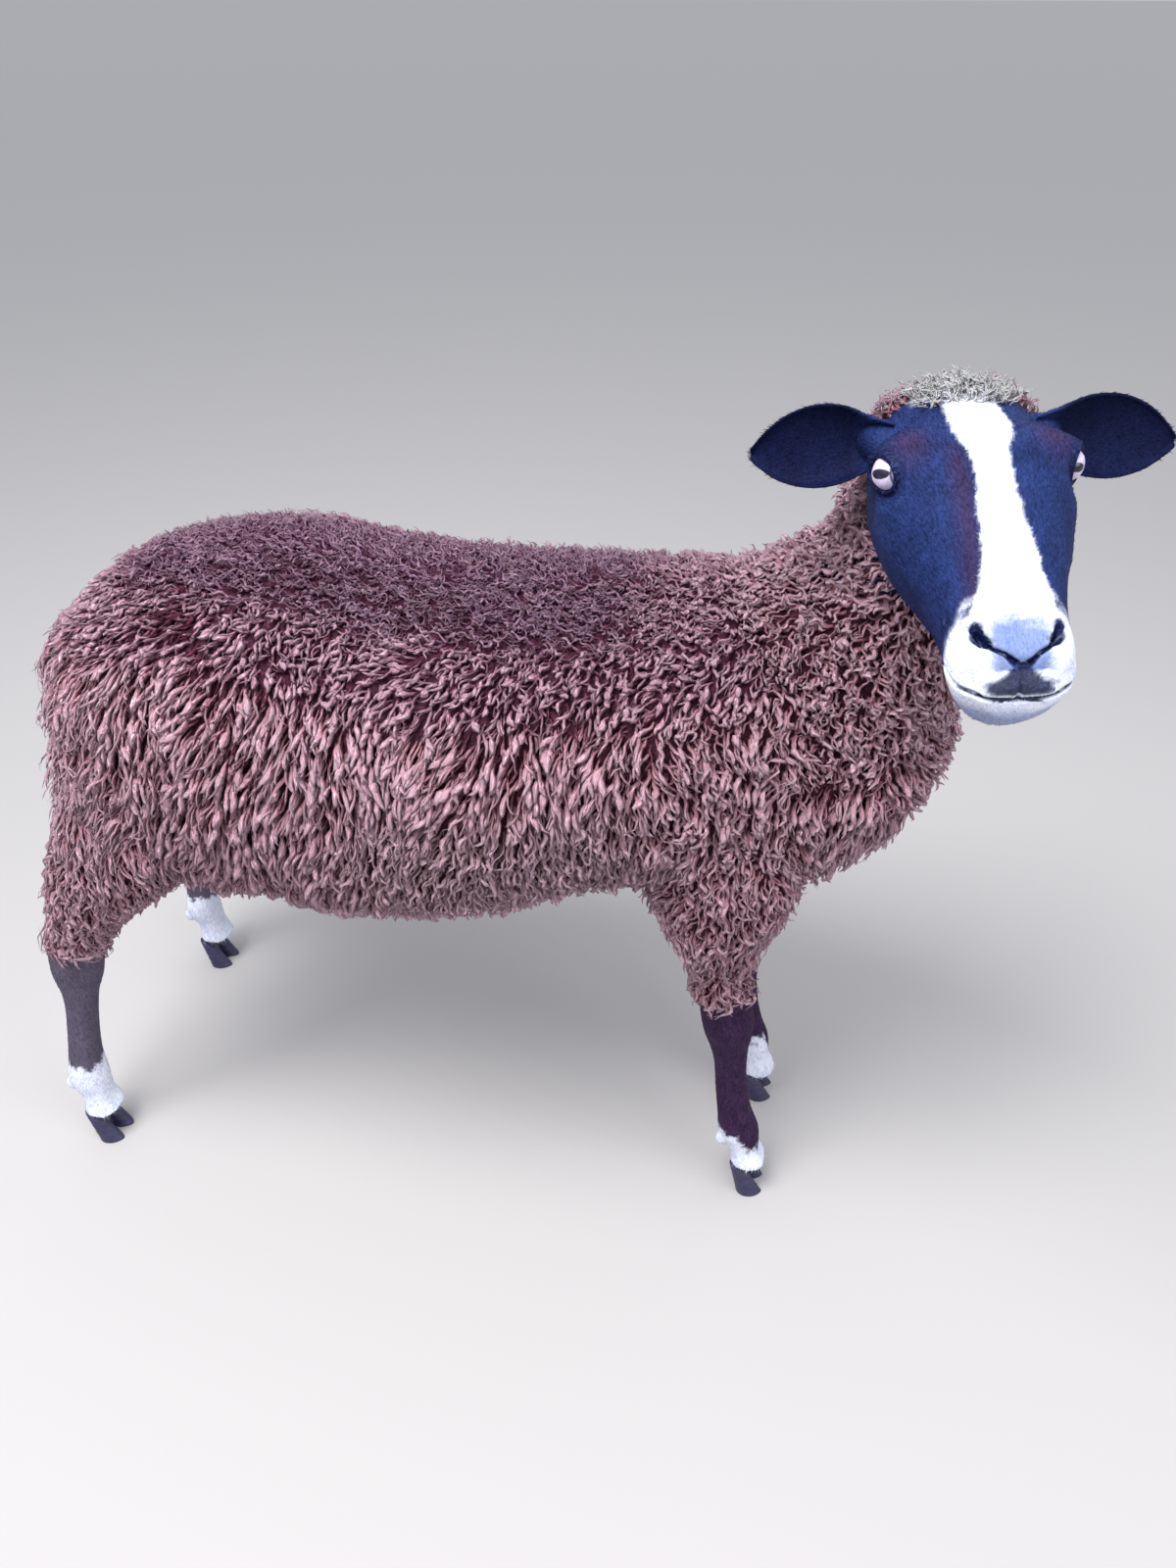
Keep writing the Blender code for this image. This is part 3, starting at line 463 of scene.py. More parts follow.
def ball(place, size, turn=np.eye(3), sides=24, rings=16):
    """Ellipsoid of the given half sizes, added as a sphere, turned and scaled."""
    bpy.ops.mesh.primitive_uv_sphere_add(segments=sides, ring_count=rings, radius=1)
    piece = bpy.context.object
    piece.data.transform(
        Matrix.Translation(Vector(place)) @ Matrix(turn.tolist()).to_4x4() @ Matrix.Diagonal((*size, 1))
    )
    return piece


def select_only(*pieces):
    bpy.ops.object.select_all(action="DESELECT")
    for piece in pieces:
        piece.select_set(True)
    bpy.context.view_layer.objects.active = pieces[0]


def modify(piece, kind, **settings):
    """Adds a modifier with its settings and applies it."""
    made = piece.modifiers.new(kind, kind)
    for key, value in settings.items():
        setattr(made, key, value)
    select_only(piece)
    bpy.ops.object.modifier_apply(modifier=made.name)


def join(pieces, name):
    select_only(*pieces)
    bpy.ops.object.join()
    pieces[0].name = name
    return pieces[0]


def fused(pieces, name, voxel, smoothing):
    """One closed surface out of overlapping bodies, smoothed where they meet."""
    piece = join(pieces, name)
    piece.data.remesh_voxel_size = voxel
    piece.data.use_remesh_preserve_volume = True
    bpy.ops.object.voxel_remesh()
    modify(piece, "SMOOTH", factor=0.5, iterations=smoothing)
    return piece


def distance_along(points, path):
    """Distance of each point from a path of straight runs, and the share of the path at its nearest."""
    path = np.asarray(path, float)
    best = np.full(len(points), np.inf)
    share = np.zeros(len(points))
    runs = len(path) - 1
    for i in range(runs):
        run = path[i + 1] - path[i]
        t = np.clip((points - path[i]) @ run / (run @ run), 0, 1)
        apart = np.linalg.norm(points - path[i] - t[:, None] * run, axis=1)
        nearer = apart < best
        best[nearer] = apart[nearer]
        share[nearer] = (i + t[nearer]) / runs
    return best, share


def push_face(points):
    for place, reach, push in FACE_PUSHES:
        for side in (-1, 1) if place[1] else (1,):
            off = (points - mirrored(place, side)) / reach
            points = points + np.exp(-(off**2).sum(axis=1))[:, None] * mirrored(push, side)
    return points


def head_body():
    """Skull, ear bases, lips and chin as one smooth closed surface, in the model's frame."""
    bodies = [tube("skull", skull_rings(110, 96))]
    for side in (-1, 1):
        base = mirrored(EAR_ROOT - unit(EAR_FACING) * 0.012, side) + ear_along(side) * 0.004
        turn = HEAD_TURN @ axis_turn(ear_along(side))
        bodies.append(ball(from_head(base), (0.0165, 0.0150, 0.0250), turn))
        lip = mirrored((0.140, 0.017, -0.031), side)
        bodies.append(ball(from_head(lip), (0.021, 0.022, 0.0125), HEAD_TURN))
    bodies.append(ball(from_head((0.129, 0, -0.063)), (0.024, 0.028, 0.0145), HEAD_TURN))
    return fused(bodies, "head_skin", HEAD_VOXEL, 4)


def refine(piece, inside):
    """Splits the faces whose points all pass the test, so that fine folds can be shaped there."""
    form = bmesh.new()
    form.from_mesh(piece.data)
    edges = [edge for edge in form.edges if inside[edge.verts[0].index] and inside[edge.verts[1].index]]
    bmesh.ops.subdivide_edges(form, edges=edges, cuts=1, use_grid_fill=True)
    form.to_mesh(piece.data)
    form.free()


def near_detail(local):
    """Places round the eyes, nostrils and mouth, in the head's own axes."""
    found = distance_along(local, PHILTRUM)[0] < 0.005
    for side in (-1, 1):
        found |= np.linalg.norm(local - mirrored(EYE_SEAT + EYE_OUTLOOK * 0.010, side), axis=1) < 0.020
        found |= distance_along(local, mirrored(NOSTRIL, side))[0] < 0.007
        found |= distance_along(local, mirrored(MOUTH, side))[0] < 0.006
    return found


def press_groove(local, inward, tree, path, width, depth):
    """Presses a groove along a path laid onto the surface, its width and depth by share of the path."""
    at = np.linspace(0, len(path) - 1, 24)
    path = np.stack([np.interp(at, np.arange(len(path)), column) for column in path.T], axis=1)
    apart, share = distance_along(local, [np.array(tree.find_nearest(place)[0]) for place in path])
    deep, wide = np.interp(share, *zip(*depth)), np.interp(share, *zip(*width))
    return local + inward * (bell(apart, wide) * deep)[:, None]


def lid_reach(u, v, side):
    """How far out a place in the eye's own axes lies, 1 at the edge of the open lids."""
    wide = np.where(u * side > 0, LID_BACK, LID_FRONT)
    return np.hypot(u / wide, v / np.where(v > 0, LID_HIGH, LID_HIGH * 0.92))


def lids_at(local, side):
    """How far out from the eye each place lies, and whether it is near the eye at all."""
    seat, turn = eye_axes(side)
    own = (local - seat) @ turn
    return lid_reach(own[:, 0], own[:, 1], side), abs(own[:, 2]) < EYE_DEPTH


def shape_eye(local, side):
    """Rides the lids over the eyeball round an open oval, with a fold above them."""
    seat, turn = eye_axes(side)
    own = (local - seat) @ turn
    u, v, w = own.T
    reach = lid_reach(u, v, side)
    near = (reach < 2.4) & (w > -EYE_DEPTH)
    globe = np.sqrt(np.maximum(EYE_RADIUS**2 - u**2 - v**2, 0))
    rim = np.sqrt(EYE_RADIUS**2 - (LID_FRONT * 0.97) ** 2)
    thick = (0.0024 - 0.0016 * ease(0, 0.010, u * side)) * bell(reach - 1.14, 0.18)
    lid = np.maximum(globe, rim) + 0.0006 + thick
    lid -= 0.0016 * bell(reach - 1.62, 0.16) * ease(-0.2, 0.6, v / LID_HIGH)
    lid += 0.0022 * bell(reach - 1.95, 0.25) * ease(0.0, 0.8, v / LID_HIGH)
    lid = np.where(reach < 1, globe - 0.0035 * ease(1.0, 0.88, reach), lid)
    own[near, 2] = (w + (lid - w) * ease(2.3, 1.25, reach))[near]
    return own @ turn.T + seat


def shape_head(head):
    """Works the face into the smooth head: planes, lids, nostrils, philtrum and the line of the mouth."""
    move_points(head, from_head(push_face(to_head(points_of(head)))))
    for _ in range(2):
        refine(head, near_detail(to_head(points_of(head))))
    local = to_head(points_of(head))
    inward = -normals_of(head) @ HEAD_TURN
    tree = surface_tree(local, head)
    nostril = ((0, 0.0036), (0.25, 0.0034), (0.45, 0.0016), (0.75, 0.0014), (1, 0.0022))
    grooves = [
        (mirrored(path, side), width, depth)
        for side in (-1, 1)
        for path, width, depth in (
            (NOSTRIL, nostril, ((0, 0.009), (0.25, 0.009), (0.5, 0.004), (1, 0.004))),
            (MOUTH, ((0, 0.0016), (1, 0.0016)), ((0, 0.001), (0.3, 0.0045), (1, 0.0045))),
        )
    ]
    grooves.append((PHILTRUM, ((0, 0.0030), (1, 0.0014)), ((0, 0.0030), (0.5, 0.0022), (1, 0.003))))
    for groove in grooves:
        local = press_groove(local, inward, tree, *groove)
    for side in (-1, 1):
        local = shape_eye(local, side)
    move_points(head, from_head(local))


def body_skin():
    """Trunk, neck, tail and woolly upper legs as one smooth closed surface."""
    return fused([tube(name, rings) for name, _, rings in wool_forms()], "body_skin", BODY_VOXEL, 5)


def shank(name, side, stations, shift):
    """Lower leg with its joints, tendons and dewclaws."""
    rings = limb_rings(stations, "", shift, side, 84, 40)
    out = unit(rings - rings.mean(axis=1, keepdims=True))
    for height, way, reach, push in SHANK_PUSHES[name] + SHANK_PUSHES["both"]:
        facing = np.maximum(out[..., 0] * way, 0) ** 3
        rings = rings + out * (push * facing * bell(rings[..., 2] - height, reach))[..., None]
    groove = 0.004 * np.maximum(abs(out[..., 1]) - 0.5, 0) * bell(rings[..., 2] - 0.185, 0.07)
    groove = groove * (out[..., 0] < 0.25)
    leg = tube("shank", rings - out * groove[..., None])
    dewclaws = []
    z, x, y, depth = stations[-3][:4]
    at = np.array((x, -y * side, z)) + shift * 0.9 + PLACE
    for part in (-1, 1):
        dewclaws.append(ball(at + (-depth * 0.80, part * 0.0105, -0.012), DEWCLAW, sides=20))
    return fused([leg, *dewclaws], "shank", SHANK_VOXEL, 2)


def make_skin():
    """Joins body, head, ears and lower legs into one closed skin by union."""
    head = head_body()
    shape_head(head)
    ears = [tube("ear", ear_rings(side)) for side in (-1, 1)]
    legs = [shank(name, side, lower, shift) for name, side, _, lower, shift in LEGS]
    skin = body_skin()
    group = bpy.data.collections.new("bodies")
    bpy.context.scene.collection.children.link(group)
    for piece in (head, *ears, *legs):
        group.objects.link(piece)
    union = {"operation": "UNION", "solver": "MANIFOLD"}
    modify(skin, "BOOLEAN", operand_type="COLLECTION", collection=group, **union)
    for piece in (head, *ears, *legs):
        bpy.data.objects.remove(piece)
    bpy.data.collections.remove(group)
    skin.name = "skin"
    skin.data.shade_smooth()
    return skin


def form_chart():
    """The forms, one search tree over them, and each face's form and its place on an unwrap of that form."""
    forms = wool_forms() + [("head", "neck", skull_rings(56, 48))]
    points, faces, owner, chart = [], [], [], []
    start = 0
    for number, (_, _, rings) in enumerate(forms):
        count, sides = rings.shape[:2]
        points.append(rings.reshape(-1, 3))
        ring, turn = np.meshgrid(np.arange(count - 1), np.arange(sides), indexing="ij")
        a = start + ring * sides + turn
        b = start + ring * sides + (turn + 1) % sides
        faces.append(np.stack([a, b, b + sides, a + sides], axis=-1).reshape(-1, 4))
        owner.append(np.full(ring.size, number))
        u = (number % 3 + 0.05 + 0.9 * (ring + 0.5) / (count - 1)) / 3
        v = (number // 3 + 0.05 + 0.9 * (turn + 0.5) / sides) / 3
        chart.append(np.stack([u, v], axis=-1).reshape(-1, 2))
        start += count * sides
    tree = BVHTree.FromPolygons(np.vstack(points).tolist(), np.vstack(faces).tolist())
    return forms, tree, np.concatenate(owner), np.vstack(chart)


def scatter(piece, count, draw, allowed):
    """Even random places over a mesh and their normals, by how far each triangle's middle is allowed."""
    points, normals = points_of(piece), normals_of(piece)
    piece.data.calc_loop_triangles()
    corners = read(piece.data.loop_triangles, "vertices", np.int32)
    a, b, c = (points[corners[:, i]] for i in range(3))
    area = np.linalg.norm(np.cross(b - a, c - a), axis=1) * allowed((a + b + c) / 3)
    chosen = draw.choice(len(area), count, p=area / area.sum())
    s, t = draw.random(count), draw.random(count)
    over = s + t > 1
    s[over], t[over] = 1 - s[over], 1 - t[over]
    mix = np.stack([1 - s - t, s, t], axis=1)[..., None]
    return (points[corners[chosen]] * mix).sum(axis=1), unit((normals[corners[chosen]] * mix).sum(axis=1))


def search_tree(places):
    tree = KDTree(len(places))
    for number, place in enumerate(places):
        tree.insert(place, number)
    tree.balance()
    return tree


def thinned(places, spacing, draw):
    """Keeps places so that none lies nearer to another than its own spacing."""
    tree = search_tree(places)
    gone = np.zeros(len(places), bool)
    kept = []
    for number in draw.permutation(len(places)):
        if not gone[number]:
            kept.append(number)
            for _, other, _ in tree.find_range(places[number], spacing[number]):
                gone[other] = True
    return np.array(kept)


def outside_skull(points):
    """Which points lie outside the head's own form."""
    x, y, z = to_head(points).T
    top, jaw, half = flow(HEAD, np.clip(x, HEAD[0][0], HEAD[-1][0])).T
    waist = top - HEAD_WAIST * (top - jaw)
    level = (z - waist) / np.where(z > waist, top - waist, waist - jaw)
    return ~((np.hypot(y / half, level) < 0.97) & (x > HEAD[0][0] + 0.004))


def wave(points, draw, length=0.12, parts=5):
    """Smooth random field over space, about -1 to 1."""
    total = np.zeros(len(points))
    for _ in range(parts):
        way = unit(draw.normal(size=3)) * 2 * np.pi / (length * draw.uniform(0.6, 1.6))
        total += np.sin(points @ way + draw.uniform(0, 2 * np.pi))
    return total / math.sqrt(parts)


def kind_shares(own, normal, form):
    """How much of each kind of wool grows at each place, in the order of WOOL_KINDS."""
    x, _, z = own.T
    up = normal[:, 2]
    torso, leg = form == "torso", np.isin(form, ("fore", "hind"))
    top = ease(0.84, 0.95, up)
    under = ease(-0.45, -0.75, up)
    scaly = ease(0.55, 0.75, up) * (1 - top)
    side = (1 - top) * (1 - under) * (1 - scaly)
    rear = ease(-0.19, -0.27, x)
    fore = ease(0.20, 0.30, x)
    low = ease(0.28, -0.10, up) * ease(-0.06, 0.06, x)
    middle = side * (1 - rear) * (1 - fore)
    fluff = 0.6 * ease(0.44, 0.50, z)
    share = {
        "back": torso * top * (1 - 0.6 * fore),
        "scale": torso * scaly,
        "drop": torso * middle * (1 - low),
        "rear": torso * side * rear + (leg & (x < 0)) * fluff + (form == "tail"),
        "low": torso * middle * low,
        "belly": torso * under,
        "front": torso * (side * fore + top * 0.6 * fore) + (leg & (x > 0)) * fluff,
        "neck": form == "neck",
        "leg": leg * (1 - fluff),
        "poll": form == "head",
    }
    table = np.stack([share[name] for name in WOOL_KINDS], axis=1)
    return table / table.sum(axis=1, keepdims=True)


def lie_of(own, normal, form):
    """Which way the wool hangs at each place: down the sides, outward from the spine, back off the poll."""
    x, y, _ = own.T
    top = ease(0.70, 0.95, normal[:, 2])[:, None]
    hang = np.stack([-0.16 - 0.25 * ease(0.30, 0.45, x), 0 * x, -1 + 0 * x], axis=1)
    spill = np.stack([-0.5 + 0 * x, np.sign(y) * 0.8, -0.2 + 0 * x], axis=1)
    back = unit(HEAD_TURN @ (-1.0, 0, 0.1))
    way = np.where((form == "head")[:, None], back, hang * (1 - top) + spill * top)
    return along_surface(way, normal)


def along_surface(way, normal):
    return unit(way - normal * (way * normal).sum(axis=1, keepdims=True))


def turned(way, normal, angle):
    return way * np.cos(angle)[:, None] + np.cross(normal, way) * np.sin(angle)[:, None]


def parting(own):
    """Painted shade (darkening) and lowering of the wool near its partings and in its folds, and painted
    shade under the jaw.
    """
    dark, sunk = np.zeros(len(own)), np.zeros(len(own))
    for path, reach, shade, drop in PARTINGS:
        near = np.minimum(distance_along(own, path)[0], distance_along(own * (1, -1, 1), path)[0])
        dark = np.maximum(dark, shade * bell(near, reach))
        sunk = np.maximum(sunk, drop * bell(near, reach))
    x, y, z = own.T
    bend = 0.010 * np.sin(z * 38 + x * 9) + 0.006 * np.sin(z * 91)
    run = (x * 0.8 + abs(y) * 0.5 + bend) / 0.030
    broken = np.sin(z * 55 + 7 * np.floor(run)) * 0.5 + 0.5
    fold = bell((run % 1) - 0.5, 0.10) * broken * (ease(0.81, 0.41, z) * ease(0.30, 0.36, z))
    dark, sunk = np.maximum(dark, 0.45 * fold), np.maximum(sunk, 0.42 * fold)
    place, reach, shade = JAW_SHADE
    return np.maximum(dark, shade * bell(np.linalg.norm(own - place, axis=1), reach)), sunk


def wool_line(z):
    """How far back on the head the fleece begins, by height."""
    return -0.083 + 0.25 * np.maximum(-0.045 - z, 0) - 0.20 * np.maximum(z - 0.02, 0)


def woolly(points):
    """Which places on the head carry wool: the poll and the nape."""
    x, y, z = to_head(points).T
    crown = (x < -0.060) & (abs(y) < 0.030) & (z > 0.01)
    return (x < wool_line(z)) & (x > -0.125) & (abs(y) < 0.070) | crown


def plant_wool(body, head, lock_spacing, draw):
    """Chooses a root for every lock and gives it its form, kind, sizes, lie, height and colour."""
    forms, tree, owner, chart = form_chart()
    place, normal = scatter(body, ROOTS, draw, outside_skull)
    more = scatter(head, POLL_ROOTS, draw, woolly)
    place, normal = (np.vstack(pair) for pair in zip((place, normal), more))
    index = np.array([tree.find_nearest(spot)[2] for spot in place])
    form = np.array([name for name, _, _ in forms])[owner[index]]
    shares = kind_shares(place - PLACE, normal, form)
    kinds = np.array(list(WOOL_KINDS.values()))
    sizes = shares @ kinds[:, :9]
    kept = thinned(place, lock_spacing * sizes[:, 0] * draw.uniform(0.85, 1.15, len(place)), draw)
    wool = SimpleNamespace(place=place[kept], normal=normal[kept], count=len(kept))
    form, shares = form[kept], shares[kept]
    for name, column in zip(WOOL_SIZES, sizes[kept].T):
        setattr(wool, name, column)
    wool.share = dict(zip(WOOL_KINDS, shares.T))
    wool.chart = chart[index[kept]] + draw.uniform(-0.003, 0.003, (wool.count, 2))
    own = wool.place - PLACE
    depth = {name: WOOL[kind] * (1 - CORE_SHARE) for name, kind, _ in forms}
    depth["head"] = POLL_DEPTH
    thick = np.array([depth[name] for name in form])
    upward = ease(0.2, 0.9, wool.normal[:, 2]) * (form == "torso")
    thick += (WOOL["back"] - WOOL["torso"]) * (1 - CORE_SHARE) * upward
    centres = thinned(wool.place, wool.clump_spacing, draw)
    nearby = search_tree(wool.place[centres])
    _, number, apart = zip(*(nearby.find(spot) for spot in wool.place))
    wool.clump = centres[np.array(number)]
    edge = np.clip(np.array(apart) / (0.62 * wool.clump_spacing), 0, 1.2)
    dark, sunk = parting(own)
    wool.tier = 0.10 + 0.20 * (wool.share["front"] + wool.share["rear"])
    _, side, high = to_head(wool.place).T
    ragged = 0.004 * draw.normal(size=wool.count)
    wool.pale = (form == "head") * ease(0.040, 0.030, abs(side) + ragged) * (high > 0.0)
    random = draw.random(wool.count)
    clump_random = draw.normal(size=wool.count)[wool.clump]
    fall = wool.tier * edge**2
    wool.height = thick * wool.height * (0.56 + 0.48 * random) * (1.05 - fall) * (1 - sunk)
    wool.height *= 1 + 0.05 * clump_random
    wool.tone = 0.66 + 0.14 * draw.normal(size=wool.count) + 0.07 * clump_random
    # Painted shade: locks darker towards the edges of their clumps, in the fissures between them, and by the
    # painted shade of partings, folds and jaw
    wool.tone = wool.tone - 0.6 * wool.tier * edge**2 - dark
    wool.tone += shares @ kinds[:, 10]
    wool.tone += 0.85 * (random - 0.5) + 0.10 * wave(own, draw, 0.10)
    wool.wisps = shares @ kinds[:, 9]
    swirl = 0.30 * wave(own, draw) + 0.12 * clump_random
    swirl += wool.spread * draw.normal(size=wool.count) * 0.8
    wool.lie = turned(lie_of(own, wool.normal, form), wool.normal, swirl)
    wool.random = draw.random(wool.count)
    return wool


def lock_lines(wool, skin_tree, stretch, draw):
    """Middle line of every lock, laid over the skin from its root to its tip."""
    length = wool.length * stretch * (1.30 - 0.45 * wool.random) * draw.uniform(0.80, 1.15, wool.count)
    across = np.cross(wool.normal, wool.lie)
    phase = draw.uniform(0, 2 * np.pi, wool.count)
    curl = 0.16 * length * np.clip(draw.normal(size=wool.count), -1.6, 1.6)
    lift = 0.0035 * np.clip(draw.normal(size=wool.count), -0.6, 1.5)
    shares = np.linspace(0, 1, LOCK_RINGS + 1)
    flat = np.empty((wool.count, LOCK_RINGS + 1, 3))
    for k, t in enumerate(shares):
        sway = wool.crimp * np.sin(2 * np.pi * wool.waves * t + phase) * min(1, 2.5 * t) + curl * t**4
        flat[:, k] = wool.place + wool.lie * (length * t)[:, None] + across * sway[:, None]
    off = flat[wool.clump] - flat
    pull = wool.tier[:, None] * shares**1.5 * (np.linalg.norm(off, axis=2) < 0.05)
    flat += off * pull[..., None]
    lines = np.empty_like(flat)
    for k, t in enumerate(shares):
        height = -LOCK_ROOT + (wool.height + LOCK_ROOT) * (1 - (1 - t) ** 1.7) - 0.10 * wool.height * t**6
        ripple = 0.6 * wool.crimp * np.cos(2 * np.pi * wool.waves * t + phase) * min(1, 2.5 * t)
        height += ripple + lift * t**3
        for i in range(wool.count):
            found, normal, _, _ = skin_tree.find_nearest(flat[i, k])
            lines[i, k] = found + normal * height[i]
    return lines


def strips(name, lines, girth, outward, flatness, draw):
    """Closed tapering bodies along many lines as one mesh, with each point's share of length and turn."""
    (count, rings), sides = girth.shape, SIDES
    share = np.linspace(0, 1, rings + 1)
    along = unit(np.gradient(lines, axis=1))[:, :-1]
    across = unit(np.cross(outward[:, None], along))
    out = np.cross(along, across)
    turn = np.pi / 2 + 2 * np.pi * np.arange(sides) / sides
    ring = across[:, :, None] * np.cos(turn)[:, None] + flatness * out[:, :, None] * np.sin(turn)[:, None]
    uneven = girth[:, :, None] * draw.uniform(0.80, 1.20, (count, rings, sides))
    body = (lines[:, :-1, None] + ring * uneven[..., None]).reshape(count, -1, 3)
    points = np.concatenate([body, lines[:, -1:]], axis=1).reshape(-1, 3)
    grid = np.arange(rings * sides).reshape(rings, sides)
    after = np.roll(grid, -1, axis=1)
    quads = np.stack([grid[:-1], after[:-1], after[1:], grid[1:]], axis=-1).reshape(-1, 4)
    tip = np.stack([grid[-1], after[-1], np.full(sides, rings * sides)], axis=1)
    pattern = np.concatenate([quads.ravel(), grid[0][::-1], tip.ravel()])
    first = 4 * len(quads)
    starts = np.concatenate([4 * np.arange(len(quads)), [first], first + sides + 3 * np.arange(sides)])
    offset = np.arange(count)[:, None]
    corners = pattern + (rings * sides + 1) * offset
    piece = fill_mesh(name, points, corners, starts + len(pattern) * offset)
    return piece, np.append(np.repeat(share[:-1], sides), 1.0), np.append(np.tile(turn, rings), 0.0)


def give_wool(piece, t, angle, wool, chosen, paler=0.0):
    """Gives locks or wisps their tone, with a painted highlight along the outward ridge and painted shade on
    the sides, their kind of wool, fibre direction and unwrap.
    """
    # Painted light and shade: each lock lighter on its outward-facing ridge, darker on its sides and
    # underside
    tone = (wool.tone + paler)[chosen, None] + 0.16 * np.sin(angle)
    random = wool.random[chosen, None]
    give(piece, "lock", np.stack(np.broadcast_arrays(t, tone, random), axis=-1))
    dark = wool.share["back"] + 0.45 * wool.share["scale"]
    grey = wool.share["low"] + wool.share["belly"]
    zone = np.stack([dark, grey, wool.pale], axis=-1)[chosen, None]
    give(piece, "zone", np.broadcast_to(zone, (len(chosen), len(t), 3)))
    run = (wool.length[chosen] * 100)[:, None] * t
    grain = np.stack(np.broadcast_arrays(np.cos(angle), np.sin(angle), run), axis=-1)
    give(piece, "grain", grain + 37 * random[..., None])
    bake_map(piece, wool.chart[chosen], t, angle)


def make_locks(name, wool, lines, chosen, girth, draw):
    share = np.linspace(0, 1, LOCK_RINGS + 1)[:-1]
    random = wool.random[chosen]
    width = wool.girth[chosen] * girth * (0.55 + 0.85 * random**2)
    bulb = wool.bulb[chosen] * ease(0.2, 0.7, random)
    swell = 0.40 + 0.80 * bell(share - 0.62, 0.20)
    taper = 1.0 - 0.60 * share**2
    profile = width[:, None] * ((1 - bulb)[:, None] * taper + bulb[:, None] * swell)
    profile *= draw.uniform(0.78, 1.22, profile.shape)
    piece, t, angle = strips(name, lines[chosen], profile, wool.normal[chosen], 0.80, draw)
    give_wool(piece, t, angle, wool, chosen)
    return piece


def make_wisps(name, wool, lines, chosen, girth, draw):
    """Fine crimped strands that stray out of the locks."""
    count = len(chosen)
    share = np.linspace(0, 1, WISP_RINGS + 1)
    at = np.linspace(0.15, 1, WISP_RINGS + 1) * LOCK_RINGS
    low = np.clip(at.astype(int), 0, LOCK_RINGS - 1)
    part = (at - low)[:, None]
    line = lines[chosen][:, low] * (1 - part) + lines[chosen][:, low + 1] * part
    line += (wool.lie[chosen] * draw.uniform(-0.002, 0.009, count)[:, None])[:, None] * share[:, None]
    waves = draw.uniform(1.2, 3.0, count)[:, None]
    angle = 2 * np.pi * waves * share + draw.uniform(0, 2 * np.pi, count)[:, None]
    across = np.cross(wool.normal, wool.lie)[chosen]
    stray = draw.uniform(0.0012, 0.0040, count)[:, None] * np.linspace(0.3, 1, WISP_RINGS + 1)
    line += across[:, None] * (stray * np.sin(angle))[..., None]
    line += wool.normal[chosen][:, None] * (stray * np.cos(angle) * 0.7 + 0.0012)[..., None]
    profile = girth * draw.uniform(0.7, 1.4, count)[:, None] * np.linspace(1, 0.55, WISP_RINGS)
    piece, t, angle = strips(name, line, profile, wool.normal[chosen], 1.0, draw)
    give_wool(piece, t, angle, wool, chosen, 0.50)
    return piece


def claw(foot, part):
    """One claw: a flat-soled horn wedge, rounded in front, its inner wall flatter, with growth rings."""
    level = np.linspace(0, 1, 26)[:, None]
    turn = 2 * np.pi * (np.arange(32) + 0.5) / 32
    out, along = np.sin(turn), np.cos(turn)
    grow = 1 - 0.26 * level + 0.014 * np.sin(level * 24)
    x = CLAW_LENGTH * 0.5 * grow * along * np.where(along > 0, 1.20, 0.85) - 0.014 * level - 0.001
    wall = np.where(out * part < 0, 0.84, 1.0) * (1 - 0.36 * np.maximum(along, 0) ** 3)
    y = CLAW_WIDTH * grow * out * wall
    z = CORONET * level * (1 - 0.20 * along)
    z[0], x[0], y[0] = 0.0, x[0] * 0.94, y[0] * 0.92
    z[1] = 0.0012
    return tube("claw", foot + np.stack([x, y, z], axis=-1))


def eyeball(side):
    """Eye with a raised cornea. Its look attribute is the way from its middle: back, up and out."""
    seat, turn = eye_axes(side)
    eye = ball((0, 0, 0), (1, 1, 1), sides=72, rings=54)
    look = points_of(eye)
    bulge = 1 + 0.05 * ease(0.70, 0.92, look[:, 2])
    globe = look * bulge[:, None] * (EYE_RADIUS - EYE_GAP)
    move_points(eye, globe @ (HEAD_TURN @ turn).T + from_head(seat))
    give(eye, "look", look * (side, 1, 1))
    give(eye, "gaze", np.broadcast_to(GAZE[side], look.shape))
    eye.data.shade_smooth()
    return eye


def in_head_region(points):
    x, y, z = to_head(points).T
    skull = (x > -0.13) & (abs(y) < 0.078) & (z > -0.116) & (z < 0.078)
    ears = (points[:, 2] > 0.78) & (abs(y) > 0.058) & (x < -0.015) & (x > -0.15)
    return skull | ears


def white_mark(points, ragged):
    """Blaze, muzzle and socks, each sock with a dark tongue down its front."""
    x, y, z = to_head(points).T
    right, left = flow(BLAZE, np.clip(x, BLAZE[0][0], BLAZE[-1][0])).T
    inside = np.minimum(y - right, left - y) + 0.0009 * ragged
    blaze = ease(-0.0014, 0.0014, inside) * (z > -0.02 - 0.02 * ease(0.10, 0.12, x))
    muzzle = ease(0.116, 0.130, x + 0.30 * (z + 0.02) + 0.0040 * ragged)
    own = points - PLACE
    white = np.where(in_head_region(points), np.maximum(blaze, muzzle), 0.09 * (own[:, 0] < 0))
    top = np.where(own[:, 0] > 0, SOCK_TOP["fore"], SOCK_TOP["hind"])
    for name, side, _, lower, shift in LEGS:
        off = own[:, :2] - (np.array((lower[-2][1], -lower[-2][2] * side)) + shift[:2])
        near = np.linalg.norm(off, axis=1)
        front = (off @ unit(np.array((0.75, 0.66 * side)))) / np.maximum(near, 1e-6)
        top = top - SOCK_TONGUE[name] * ease(0.2, 0.95, front) * (near < 0.06)
    return np.clip(np.maximum(white, ease(0.004, -0.004, own[:, 2] - top + 0.006 * ragged)), 0, 1)


